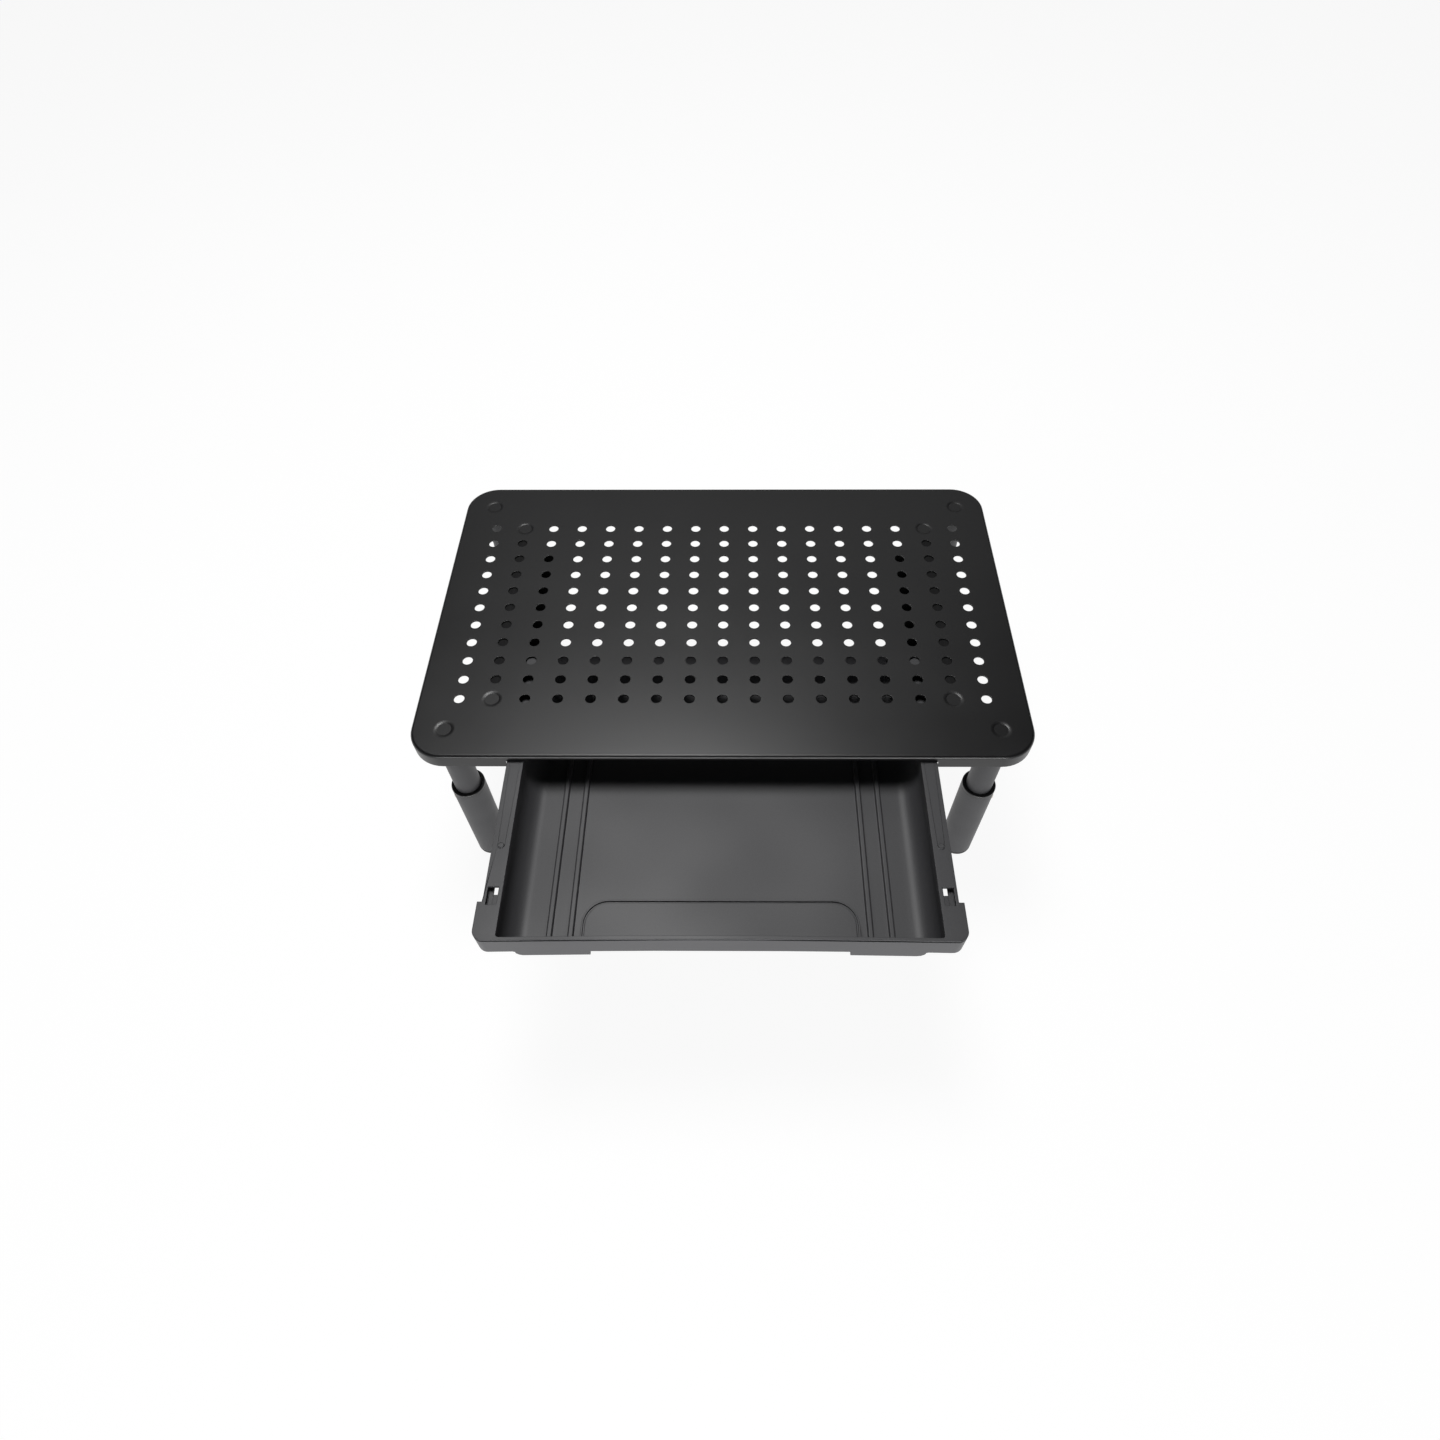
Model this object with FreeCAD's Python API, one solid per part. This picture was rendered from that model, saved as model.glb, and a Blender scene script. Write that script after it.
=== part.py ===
"""Monitor riser stand: a folded steel shelf on four telescoping legs, with a moulded drawer below it.

Millimetres. +X is the stand's right, +Y its rear, +Z up, and Z = 0 is the desk. The model stands at
full height with its drawer pulled partly out, and the origin is under the middle of its bounding box.
Every function works from the shelf's centre line, and save() moves the piece to the origin.
"""
import FreeCAD
import Part
import math
import os

V = FreeCAD.Vector

# Shelf: sheet steel folded into a shallow pan
STAND_HEIGHT = 140.0
SHELF_WIDTH = 370.0
SHELF_DEPTH = 235.0
SHELF_CORNER_R = 21.0
SHEET = 1.0
SKIRT = 10.0
FOLD_R = 2.0
FRONT_LIP = 3.0
BAY_HALF_WIDTH = 126.3
BAY_CORNER_R = 2.0

# Perforation of the shelf
HOLE_R = 3.25
PITCH_X = 20.0
PITCH_Y = 15.0
OUTER_COLUMN = 8
OUTER_ROW = 5

# Weld dimples over the studs
DIMPLE_FLOOR_R = 4.4
DIMPLE_R = 6.2
DIMPLE_DEPTH = 0.4

# Studs and nuts
RAIL_STUD_X = 7 * PITCH_X
RAIL_STUD_Y = OUTER_ROW * PITCH_Y
RAIL_STUD_R = 2.5
RAIL_STUD_LENGTH = 8.0
NUT_FLANGE_R = 5.6
NUT_FLANGE = 1.0
NUT_ACROSS_FLATS = 8.0
NUT_HEIGHT = 4.0
LEG_STUD_R = 3.9
LEG_STUD_LENGTH = 14.0
LEG_STUD_HEAD_R = 6.4
STUD_HEAD = 1.0

# Legs
LEG_X = 165.0
LEG_Y = 97.5
TUBE_R = 8.25
TUBE_WALL = 1.2
TUBE_FOOT_Z = 54.0
SLEEVE_R = 10.75
SLEEVE_TOP_Z = 77.5
FOOT_RIM = 4.0
FOOT_PLUG = 8.0
FOOT_ROUND = 2.5
HEIGHT_STEP = 20.0
HEIGHT_LEVELS = 3
COLLAR_FLANGE = 2.5
COLLAR_DEPTH = 7.5
RUNNING_GAP = 0.05
PLUG_LENGTH = 14.0

# Snap button and its clip spring, inside the upper tube
BUTTON_Z = 66.0
BUTTON_R = 3.0
BUTTON_HOLE_R = 3.1
LOCK_HOLE_R = 3.25
BUTTON_PROUD = 1.2
BUTTON_HEAD_ROUND = 1.6
BUTTON_FLANGE_R = 3.8
BUTTON_FLANGE_X = 4.5
BUTTON_FLANGE = 1.0
SPRING_STRIP = 0.6
SPRING_WIDTH = 5.0

# Drawer, measured at its resting place: partly out
RIM_TOP_Z = STAND_HEIGHT - 4.5
RIM = 2.0
RIM_OUTER_X = 125.5
TRAY_OUTER_X = 117.7
TRAY_WALL = 2.0
TRAY_BOTTOM_Z = STAND_HEIGHT - 25.6
TRAY_FLOOR_R = 12.0
TRAY_REAR_Y = -34.0
INNER_FRONT_R = 1.5
EAR_OUTER_X = 128.3
EAR_REAR_Y = -205.4
FRONT_CORNER_R = 6.0
FRONT_END_Y = -227.0
FRONT_MIDDLE_Y = -225.8
FRONT_LOWER_Z = STAND_HEIGHT - 20.2
SKID_OUTER_X = 108.5
SKID_ROUND = 4.5
PULL_HALF_WIDTH = 69.0
PULL_REAR_Y = -200.5
PULL_TOP_Z = STAND_HEIGHT - 21.0
PULL_CORNER_R = 11.0
PLATEAU_HALF_WIDTH = 74.5
PLATEAU_REAR_Y = -198.0
PLATEAU_TOP_Z = STAND_HEIGHT - 18.0
PLATEAU_CORNER_R = 14.0
PLATEAU_GROOVE = 1.0
PLATEAU_GROOVE_DEPTH = 0.8
GROOVE_DEPTH = 0.9
GROOVE_TOP_Z = RIM_TOP_Z - 0.8
GROOVE_HEIGHT = 1.2
RIB_CENTRES_X = (80.5, 92.0)
RIB_WIDTH = 3.2
RIB_HEIGHT = 1.6
RIB_ROUND = 0.9
PIP_X = 120.5
PIP_Y = -172.5
PIP_R = 1.7
PIP_HEIGHT = 0.8
SLOT_INNER_X = TRAY_OUTER_X + 0.2
SLOT_OUTER_X = 123.8
SLOT_FRONT_Y = -207.2
SLOT_REAR_Y = -196.8
FINGER_STEP_X = 120.6
FINGER_WALL = 0.8
FINGER_OUTER_X = RIM_OUTER_X - 0.2
SLOT_OPEN_X = 121.3
FINGER_REAR_Y = SLOT_REAR_Y + 1.9
FINGER_TIP_Y = -200.8

# Rails under the shelf
RAIL_SHEET = 1.0
RAIL_WEB_X = RIM_OUTER_X + 0.6
RAIL_FLANGE_X = 150.0
RAIL_STRIP_X = 134.0
RAIL_LEDGE_X = TRAY_OUTER_X + 0.8
RAIL_LEDGE_TOP_Z = RIM_TOP_Z - RIM - 0.4
RAIL_TAB_Y = 84.0
RAIL_REAR_Y = 60.0
RAIL_FRONT_Y = -115.5
LEDGE_FRONT_Y = -106.5
STOP_DROP = 2.5
DRAWER_MORE_OUT = 25.0

# The origin is midway between the shelf's rear and the drawer's front
SHELF_Y = (-FRONT_END_Y - SHELF_DEPTH / 2) / 2

UNDERSIDE_Z = STAND_HEIGHT - SHEET
CUT = 1.0


# --- Helpers ---

def box(x0, x1, y0, y1, z0, z1):
    return Part.makeBox(x1 - x0, y1 - y0, z1 - z0, V(x0, y0, z0))


def rod(x, y, z0, z1, radius):
    return Part.makeCylinder(radius, z1 - z0, V(x, y, z0))


def ring(z0, z1, outer, inner):
    return rod(0, 0, z0, z1, outer).cut(rod(0, 0, z0 - CUT, z1 + CUT, inner))


def cross_rod(x0, x1, z, radius):
    """A cylinder along X through the leg's axis."""
    return Part.makeCylinder(radius, x1 - x0, V(x0, 0, z), V(1, 0, 0))


def prism(edges, z0, z1):
    """Extrudes a closed outline, drawn in plan, from z0 to z1."""
    face = Part.Face(Part.Wire(edges))
    solid = face.extrude(V(0, 0, z1 - z0))
    solid.translate(V(0, 0, z0))
    return solid


def line(a, b):
    return Part.makeLine(V(*a), V(*b))


def arc(a, middle, b):
    return Part.Arc(V(*a), V(*middle), V(*b)).toShape()


def rounded(solid, radius, wanted):
    """Fillets the edges that the test picks."""
    return solid.makeFillet(radius, [edge for edge in solid.Edges if wanted(edge)])


def lies_at_z(edge, z):
    return all(abs(vertex.Z - z) < 1e-6 for vertex in edge.Vertexes)


def runs_along(edge, axis):
    """True for a straight edge parallel to an axis, given as 0, 1 or 2."""
    if not isinstance(edge.Curve, (Part.Line, Part.LineSegment)):
        return False
    step = edge.Vertexes[-1].Point - edge.Vertexes[0].Point
    return abs(abs(step[axis]) - step.Length) < 1e-6


def mirrored_pair(solid):
    """The solid and its mirror image across the stand's middle plane."""
    return [solid, solid.mirror(V(0, 0, 0), V(1, 0, 0))]


def leg_places():
    """The name, centre and outward side of each leg."""
    for front_or_rear, side_y in (("front", -1), ("rear", 1)):
        for left_or_right, side_x in (("left", -1), ("right", 1)):
            yield f"{front_or_rear}_{left_or_right}", V(side_x * LEG_X, side_y * LEG_Y, 0), side_x


def at_leg(solid, centre, side):
    """Moves a piece made with +X outwards to its leg."""
    piece = solid.copy()
    if side < 0:
        piece.rotate(V(0, 0, 0), V(0, 0, 1), 180)
    piece.translate(centre)
    return piece


def save(name, shape):
    piece = shape.copy()
    piece.translate(V(0, SHELF_Y, 0))
    piece.exportStep(f"parts/{name}.step")


# --- Shelf ---

def slab(width, depth, corner, z0, z1, fold):
    """A block with rounded corners and a rounded upper edge."""
    solid = box(-width / 2, width / 2, -depth / 2, depth / 2, z0, z1)
    solid = rounded(solid, corner, lambda edge: runs_along(edge, 2))
    return rounded(solid, fold, lambda edge: lies_at_z(edge, z1))


def is_rail_stud(column, row):
    return abs(column) * PITCH_X == RAIL_STUD_X and abs(row) * PITCH_Y == RAIL_STUD_Y


def perforation():
    """The punched holes, on a grid with a place kept free over each rail stud."""
    cutters = []
    for column in range(-OUTER_COLUMN, OUTER_COLUMN + 1):
        for row in range(-OUTER_ROW, OUTER_ROW + 1):
            if not is_rail_stud(column, row):
                x = column * PITCH_X
                y = row * PITCH_Y
                cutters.append(rod(x, y, UNDERSIDE_Z - CUT, STAND_HEIGHT + CUT, HOLE_R))
    return Part.makeCompound(cutters)


def stud_places():
    places = [(x, y) for x in (-RAIL_STUD_X, RAIL_STUD_X) for y in (-RAIL_STUD_Y, RAIL_STUD_Y)]
    return places + [(x, y) for x in (-LEG_X, LEG_X) for y in (-LEG_Y, LEG_Y)]


def dimples():
    """Shallow flat-bottomed sinks where the studs are welded below."""
    floor_z = STAND_HEIGHT - DIMPLE_DEPTH
    cones = [Part.makeCone(DIMPLE_FLOOR_R, DIMPLE_R, DIMPLE_DEPTH, V(x, y, floor_z))
             for x, y in stud_places()]
    return Part.makeCompound(cones)


def drawer_bay():
    """The opening in the front skirt, which leaves a narrow lip above it."""
    front = -SHELF_DEPTH / 2
    opening = box(-BAY_HALF_WIDTH, BAY_HALF_WIDTH, front - CUT, front + SHEET + FOLD_R,
                  UNDERSIDE_Z - 2 * SKIRT, STAND_HEIGHT - FRONT_LIP)
    return rounded(opening, BAY_CORNER_R,
                   lambda edge: runs_along(edge, 1) and lies_at_z(edge, STAND_HEIGHT - FRONT_LIP))


def top_panel():
    skirt_z = STAND_HEIGHT - SKIRT
    outer = slab(SHELF_WIDTH, SHELF_DEPTH, SHELF_CORNER_R, skirt_z, STAND_HEIGHT, FOLD_R)
    hollow = slab(SHELF_WIDTH - 2 * SHEET, SHELF_DEPTH - 2 * SHEET, SHELF_CORNER_R - SHEET,
                  skirt_z - CUT, UNDERSIDE_Z, FOLD_R - SHEET)
    return outer.cut(hollow).cut(drawer_bay()).cut(perforation()).cut(dimples())


def stud(x, y, radius, length, head_radius):
    """A weld stud, its flat head against the shelf's underside."""
    head = rod(x, y, UNDERSIDE_Z - STUD_HEAD, UNDERSIDE_Z, head_radius)
    shank = rod(x, y, UNDERSIDE_Z - length, UNDERSIDE_Z, radius)
    return head.fuse(shank).removeSplitter()


def leg_studs():
    return Part.makeCompound([stud(centre.x, centre.y, LEG_STUD_R, LEG_STUD_LENGTH, LEG_STUD_HEAD_R)
                              for _, centre, _ in leg_places()])


def rail_studs():
    return Part.makeCompound([rod(x, y, UNDERSIDE_Z - RAIL_STUD_LENGTH, UNDERSIDE_Z, RAIL_STUD_R)
                              for x, y in stud_places()[:4]])


def flange_nut(x, y):
    """A hexagon nut with a round flange, below the rail."""
    seat_z = UNDERSIDE_Z - RAIL_SHEET
    corner = NUT_ACROSS_FLATS / math.sqrt(3)
    turns = [math.radians(60 * k) for k in range(7)]
    outline = Part.makePolygon([V(x + corner * math.cos(t), y + corner * math.sin(t), seat_z - NUT_HEIGHT)
                                for t in turns])
    hexagon = Part.Face(outline).extrude(V(0, 0, NUT_HEIGHT))
    flange = rod(x, y, seat_z - NUT_FLANGE, seat_z, NUT_FLANGE_R)
    bore = rod(x, y, seat_z - NUT_HEIGHT - CUT, seat_z + CUT, RAIL_STUD_R + RUNNING_GAP)
    return hexagon.fuse(flange).cut(bore).removeSplitter()


def rail_nuts():
    return Part.makeCompound([flange_nut(x, y) for x, y in stud_places()[:4]])


# --- Rails ---

def drawer_rail():
    """The right-hand rail: a flange under the shelf, a web beside the drawer and a ledge below its rim."""
    web_x = RAIL_WEB_X + RAIL_SHEET
    top_z = UNDERSIDE_Z - RAIL_SHEET
    ledge_z = RAIL_LEDGE_TOP_Z - RAIL_SHEET
    flange = box(RAIL_WEB_X, RAIL_FLANGE_X, -RAIL_TAB_Y, RAIL_TAB_Y, top_z, UNDERSIDE_Z)
    flange = rounded(flange, 4.0, lambda edge: runs_along(edge, 2) and edge.Vertexes[0].X > web_x)
    strip = box(RAIL_WEB_X, RAIL_STRIP_X, RAIL_FRONT_Y, RAIL_REAR_Y, top_z, UNDERSIDE_Z)
    web = box(RAIL_WEB_X, web_x, RAIL_FRONT_Y, RAIL_REAR_Y, ledge_z, UNDERSIDE_Z)
    ledge = box(RAIL_LEDGE_X, web_x, LEDGE_FRONT_Y, RAIL_REAR_Y, ledge_z, RAIL_LEDGE_TOP_Z)
    stop = box(RAIL_LEDGE_X + 1, RAIL_WEB_X - 1, LEDGE_FRONT_Y, LEDGE_FRONT_Y + RAIL_SHEET,
               ledge_z - STOP_DROP, ledge_z + RAIL_SHEET / 2)
    rail = flange.multiFuse([strip, web, ledge, stop]).removeSplitter()
    for side in (-1, 1):
        rail = rail.cut(rod(RAIL_STUD_X, side * RAIL_STUD_Y, top_z - CUT, UNDERSIDE_Z + CUT,
                            RAIL_STUD_R + 0.3))
    return rail


# --- Legs, made about the Z axis with +X outwards ---

def upper_tube():
    tube = ring(TUBE_FOOT_Z, UNDERSIDE_Z, TUBE_R, TUBE_R - TUBE_WALL)
    return tube.cut(cross_rod(0, TUBE_R + CUT, BUTTON_Z, BUTTON_HOLE_R))


def tube_plug():
    """The threaded insert that screws onto the leg's stud."""
    top_z = UNDERSIDE_Z - STUD_HEAD - 0.2
    return ring(top_z - PLUG_LENGTH, top_z, TUBE_R - TUBE_WALL - RUNNING_GAP, LEG_STUD_R + RUNNING_GAP)


def sleeve():
    tube = ring(FOOT_RIM, SLEEVE_TOP_Z, SLEEVE_R, SLEEVE_R - TUBE_WALL)
    for level in range(HEIGHT_LEVELS):
        tube = tube.cut(cross_rod(0, SLEEVE_R + CUT, BUTTON_Z - level * HEIGHT_STEP, LOCK_HOLE_R))
    return tube


def guide_collar():
    """The flanged bush in the sleeve's mouth, which the upper tube slides through."""
    bore = TUBE_R + RUNNING_GAP
    flange = ring(SLEEVE_TOP_Z, SLEEVE_TOP_Z + COLLAR_FLANGE, SLEEVE_R, bore)
    flange = rounded(flange, 0.6, lambda edge: lies_at_z(edge, SLEEVE_TOP_Z + COLLAR_FLANGE)
                     and edge.Curve.Radius > TUBE_R + 1)
    body = ring(SLEEVE_TOP_Z - COLLAR_DEPTH, SLEEVE_TOP_Z, SLEEVE_R - TUBE_WALL - RUNNING_GAP, bore)
    return flange.fuse(body).removeSplitter()


def foot():
    """The rubber cap on the sleeve's lower end."""
    rim = rounded(rod(0, 0, 0, FOOT_RIM, SLEEVE_R), FOOT_ROUND, lambda edge: lies_at_z(edge, 0))
    plug_r = SLEEVE_R - TUBE_WALL - RUNNING_GAP
    plug = rod(0, 0, FOOT_RIM - CUT, FOOT_RIM + FOOT_PLUG, plug_r)
    hollow = rod(0, 0, FOOT_RIM, FOOT_RIM + FOOT_PLUG + CUT, plug_r - 2.5)
    return rim.fuse(plug).cut(hollow).removeSplitter()


def snap_button():
    tip_x = SLEEVE_R + BUTTON_PROUD
    pin = cross_rod(BUTTON_FLANGE_X, tip_x, BUTTON_Z, BUTTON_R)
    pin = rounded(pin, BUTTON_HEAD_ROUND, lambda edge: isinstance(edge.Curve, Part.Circle)
                  and edge.Curve.Center.x > tip_x - CUT)
    flange = cross_rod(BUTTON_FLANGE_X, BUTTON_FLANGE_X + BUTTON_FLANGE, BUTTON_Z, BUTTON_FLANGE_R)
    return pin.fuse(flange).removeSplitter()


def ribbon(points, thickness, width):
    """A strip bent along points in the XZ plane, with mitred bends, and centred on Y = 0."""
    upper = []
    lower = []
    for i, (x, z) in enumerate(points):
        before = points[max(i - 1, 0)]
        after = points[min(i + 1, len(points) - 1)]
        headings = []
        if i > 0:
            headings.append(math.atan2(z - before[1], x - before[0]))
        if i < len(points) - 1:
            headings.append(math.atan2(after[1] - z, after[0] - x))
        middle = sum(headings) / len(headings)
        reach = thickness / 2 / math.cos(headings[0] - middle)
        dx = -math.sin(middle) * reach
        dz = math.cos(middle) * reach
        upper.append(V(x + dx, -width / 2, z + dz))
        lower.append(V(x - dx, -width / 2, z - dz))
    outline = upper + lower[::-1]
    return Part.Face(Part.makePolygon(outline + outline[:1])).extrude(V(0, width, 0))


def clip_spring():
    """The V of spring strip that holds the button out: one leg behind it, one on the far wall."""
    behind_button = BUTTON_FLANGE_X - SPRING_STRIP / 2
    far_wall = -(TUBE_R - TUBE_WALL - 1.0)
    points = [(far_wall, BUTTON_Z - 6), (far_wall, BUTTON_Z - 2), (-1.0, BUTTON_Z + 22),
              (1.0, BUTTON_Z + 22), (behind_button, BUTTON_Z + 5), (behind_button, BUTTON_Z - 5)]
    return ribbon(points, SPRING_STRIP, SPRING_WIDTH)


# --- Drawer ---

def front_outline(inset):
    """The drawer front in plan: two ears, rounded corners and a slightly hollow front edge."""
    ear_x = EAR_OUTER_X - inset
    rear_y = EAR_REAR_Y - inset
    front_y = FRONT_END_Y + inset
    middle_y = FRONT_MIDDLE_Y + inset
    turn_x = EAR_OUTER_X - FRONT_CORNER_R
    turn_y = FRONT_END_Y + FRONT_CORNER_R
    reach = (FRONT_CORNER_R - inset) / math.sqrt(2)
    return [line((-ear_x, rear_y, 0), (-ear_x, turn_y, 0)),
            arc((-ear_x, turn_y, 0), (-turn_x - reach, turn_y - reach, 0), (-turn_x, front_y, 0)),
            arc((-turn_x, front_y, 0), (0, middle_y, 0), (turn_x, front_y, 0)),
            arc((turn_x, front_y, 0), (turn_x + reach, turn_y - reach, 0), (ear_x, turn_y, 0)),
            line((ear_x, turn_y, 0), (ear_x, rear_y, 0)),
            line((ear_x, rear_y, 0), (-ear_x, rear_y, 0))]


def cavity_outline():
    """The inside of the drawer in plan; its front follows the hollow of the front wall."""
    half = TRAY_OUTER_X - TRAY_WALL
    rear = TRAY_REAR_Y - TRAY_WALL
    side_y = FRONT_END_Y + TRAY_WALL
    return [line((-half, rear, 0), (-half, side_y, 0)),
            arc((-half, side_y, 0), (0, FRONT_MIDDLE_Y + TRAY_WALL, 0), (half, side_y, 0)),
            line((half, side_y, 0), (half, rear, 0)),
            line((half, rear, 0), (-half, rear, 0))]


def tray_cavity():
    floor_z = TRAY_BOTTOM_Z + TRAY_WALL
    cavity = prism(cavity_outline(), floor_z, RIM_TOP_Z + CUT)
    cavity = rounded(cavity, TRAY_FLOOR_R,
                     lambda edge: runs_along(edge, 1) and lies_at_z(edge, floor_z))
    return rounded(cavity, INNER_FRONT_R,
                   lambda edge: lies_at_z(edge, floor_z) and not runs_along(edge, 1))


def tray_body():
    """The outer shell of the tray, its long lower edges well rounded."""
    body = box(-TRAY_OUTER_X, TRAY_OUTER_X, FRONT_MIDDLE_Y + 0.5, TRAY_REAR_Y, TRAY_BOTTOM_Z, RIM_TOP_Z)
    return rounded(body, TRAY_FLOOR_R + TRAY_WALL,
                   lambda edge: runs_along(edge, 1) and lies_at_z(edge, TRAY_BOTTOM_Z))


def front_panel():
    """The front face with its ears, hollow from below, and two skids that reach the tray's bottom."""
    panel = prism(front_outline(0), FRONT_LOWER_Z, RIM_TOP_Z)
    groove = prism(front_outline(-CUT), GROOVE_TOP_Z - GROOVE_HEIGHT, GROOVE_TOP_Z)
    groove = groove.cut(prism(front_outline(GROOVE_DEPTH), GROOVE_TOP_Z - 2 * GROOVE_HEIGHT, RIM_TOP_Z))
    groove = groove.cut(box(-EAR_OUTER_X * 2, EAR_OUTER_X * 2, FRONT_END_Y + FRONT_CORNER_R, 0,
                            TRAY_BOTTOM_Z, RIM_TOP_Z))
    below = prism(front_outline(TRAY_WALL), FRONT_LOWER_Z - CUT, RIM_TOP_Z - RIM)
    ear_hollows = below.cut(box(-TRAY_OUTER_X, TRAY_OUTER_X, 2 * FRONT_END_Y, 0,
                                TRAY_BOTTOM_Z, RIM_TOP_Z))
    skid = prism(front_outline(0), TRAY_BOTTOM_Z, FRONT_LOWER_Z + CUT)
    skid = skid.common(skid_window())
    return panel.cut(ear_hollows).fuse(skid).cut(groove)


def skid_window():
    """The two spans of the front, seen from ahead, that reach down to the tray's bottom."""
    span = box(-SKID_OUTER_X, SKID_OUTER_X, 2 * FRONT_END_Y, FRONT_MIDDLE_Y + 2 * TRAY_WALL,
               TRAY_BOTTOM_Z, FRONT_LOWER_Z + CUT)
    return rounded(span, SKID_ROUND,
                   lambda edge: runs_along(edge, 1) and lies_at_z(edge, TRAY_BOTTOM_Z))


def rounded_block(half_width, front_y, rear_y, z0, z1, corner):
    """A block centred on X = 0 whose two rear corners are rounded."""
    block = box(-half_width, half_width, front_y, rear_y, z0, z1)
    return rounded(block, corner,
                   lambda edge: runs_along(edge, 2) and abs(edge.Vertexes[0].Y - rear_y) < 1e-6)


def floor_ribs():
    """Low rounded ribs that part the pen troughs from the middle of the tray."""
    floor_z = TRAY_BOTTOM_Z + TRAY_WALL
    ribs = []
    for centre in RIB_CENTRES_X:
        rib = box(centre - RIB_WIDTH / 2, centre + RIB_WIDTH / 2, FRONT_MIDDLE_Y + 0.5,
                  TRAY_REAR_Y - TRAY_WALL / 2, floor_z - TRAY_WALL / 2, floor_z + RIB_HEIGHT)
        rib = rounded(rib, RIB_ROUND,
                      lambda edge: runs_along(edge, 1) and lies_at_z(edge, floor_z + RIB_HEIGHT))
        ribs += mirrored_pair(rib)
    return ribs


def rim_features():
    """Rims, stops and latch fingers of the right-hand side."""
    under_z = RIM_TOP_Z - RIM
    rim = box(TRAY_OUTER_X - CUT, RIM_OUTER_X, EAR_REAR_Y, TRAY_REAR_Y, under_z, RIM_TOP_Z)
    pad = box(TRAY_OUTER_X - 1, RIM_OUTER_X - 1, TRAY_REAR_Y - 14, TRAY_REAR_Y - 2,
              under_z, UNDERSIDE_Z - 0.4)
    pip = rod(PIP_X, PIP_Y, under_z, RIM_TOP_Z + PIP_HEIGHT, PIP_R)
    stop_front = LEDGE_FRONT_Y + RAIL_SHEET + DRAWER_MORE_OUT + 0.3
    stop_top = RAIL_LEDGE_TOP_Z - RAIL_SHEET - 0.5
    stop = box(TRAY_OUTER_X - 1, TRAY_OUTER_X + 4.5, stop_front, stop_front + 6, stop_top - 2, stop_top)
    return [rim, pad, pip, stop]


def latch_slot():
    return box(SLOT_INNER_X, SLOT_OUTER_X, SLOT_FRONT_Y, SLOT_REAR_Y, RIM_TOP_Z - 2 * RIM, RIM_TOP_Z + CUT)


def latch_finger():
    """The stepped spring finger in the slot, moulded on a block inside the ear."""
    root_y = SLOT_FRONT_Y - TRAY_WALL
    upper_z = RIM_TOP_Z - 1.6
    lower_z = RIM_TOP_Z - 3.9
    under_z = RIM_TOP_Z - 5.2
    link_x = FINGER_STEP_X - FINGER_WALL
    root = box(TRAY_OUTER_X - 1, FINGER_OUTER_X, root_y, SLOT_FRONT_Y, under_z, RIM_TOP_Z - 1)
    upper = box(SLOT_INNER_X, FINGER_STEP_X, root_y, FINGER_TIP_Y, RIM_TOP_Z - 3.1, upper_z)
    link = box(link_x, FINGER_STEP_X, root_y, FINGER_TIP_Y, under_z, upper_z)
    lower = box(link_x, FINGER_OUTER_X, root_y, FINGER_TIP_Y, under_z, lower_z)
    tail = box(SLOT_OPEN_X, FINGER_OUTER_X, root_y, FINGER_REAR_Y, under_z, lower_z)
    return root.multiFuse([upper, link, lower, tail]).removeSplitter()


def plateau_groove():
    """The moulded line just inside the edge of the raised floor."""
    z0 = PLATEAU_TOP_Z - PLATEAU_GROOVE_DEPTH
    front_y = FRONT_END_Y + TRAY_WALL + RIM
    outer = rounded_block(PLATEAU_HALF_WIDTH - PLATEAU_GROOVE, front_y, PLATEAU_REAR_Y - PLATEAU_GROOVE,
                          z0, PLATEAU_TOP_Z + CUT, PLATEAU_CORNER_R - PLATEAU_GROOVE)
    inner = rounded_block(PLATEAU_HALF_WIDTH - 2 * PLATEAU_GROOVE, front_y - CUT,
                          PLATEAU_REAR_Y - 2 * PLATEAU_GROOVE, z0 - CUT, PLATEAU_TOP_Z + 2 * CUT,
                          PLATEAU_CORNER_R - 2 * PLATEAU_GROOVE)
    return outer.cut(inner)


def drawer_tray():
    solid = tray_body().fuse(front_panel())
    for feature in rim_features():
        solid = solid.multiFuse(mirrored_pair(feature))
    solid = solid.cut(tray_cavity())
    plateau = rounded_block(PLATEAU_HALF_WIDTH, FRONT_MIDDLE_Y + 0.5, PLATEAU_REAR_Y,
                            TRAY_BOTTOM_Z + TRAY_WALL / 2, PLATEAU_TOP_Z, PLATEAU_CORNER_R)
    solid = solid.multiFuse([plateau] + floor_ribs())
    recess = rounded_block(PULL_HALF_WIDTH, 2 * FRONT_END_Y, PULL_REAR_Y,
                           TRAY_BOTTOM_Z - CUT, PULL_TOP_Z, PULL_CORNER_R)
    solid = solid.cut(recess).cut(plateau_groove())
    for slot in mirrored_pair(latch_slot()):
        solid = solid.cut(slot)
    return solid.multiFuse(mirrored_pair(latch_finger())).removeSplitter()


# --- Pieces ---

def main():
    os.makedirs("parts", exist_ok=True)
    save("top_panel", top_panel())
    save("leg_weld_studs", leg_studs())
    save("rail_weld_studs", rail_studs())
    save("rail_flange_nuts", rail_nuts())
    right_rail, left_rail = mirrored_pair(drawer_rail())
    save("drawer_rail_right", right_rail)
    save("drawer_rail_left", left_rail)
    save("drawer_tray", drawer_tray())
    leg_pieces = {"upper_tube": upper_tube(), "tube_plug": tube_plug(), "clip_spring": clip_spring(),
                  "snap_button": snap_button(), "lower_sleeve": sleeve(), "guide_collar": guide_collar(),
                  "foot": foot()}
    for name, centre, side in leg_places():
        for piece_name, piece in leg_pieces.items():
            save(f"{name}_{piece_name}", at_leg(piece, centre, side))


main()
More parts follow.
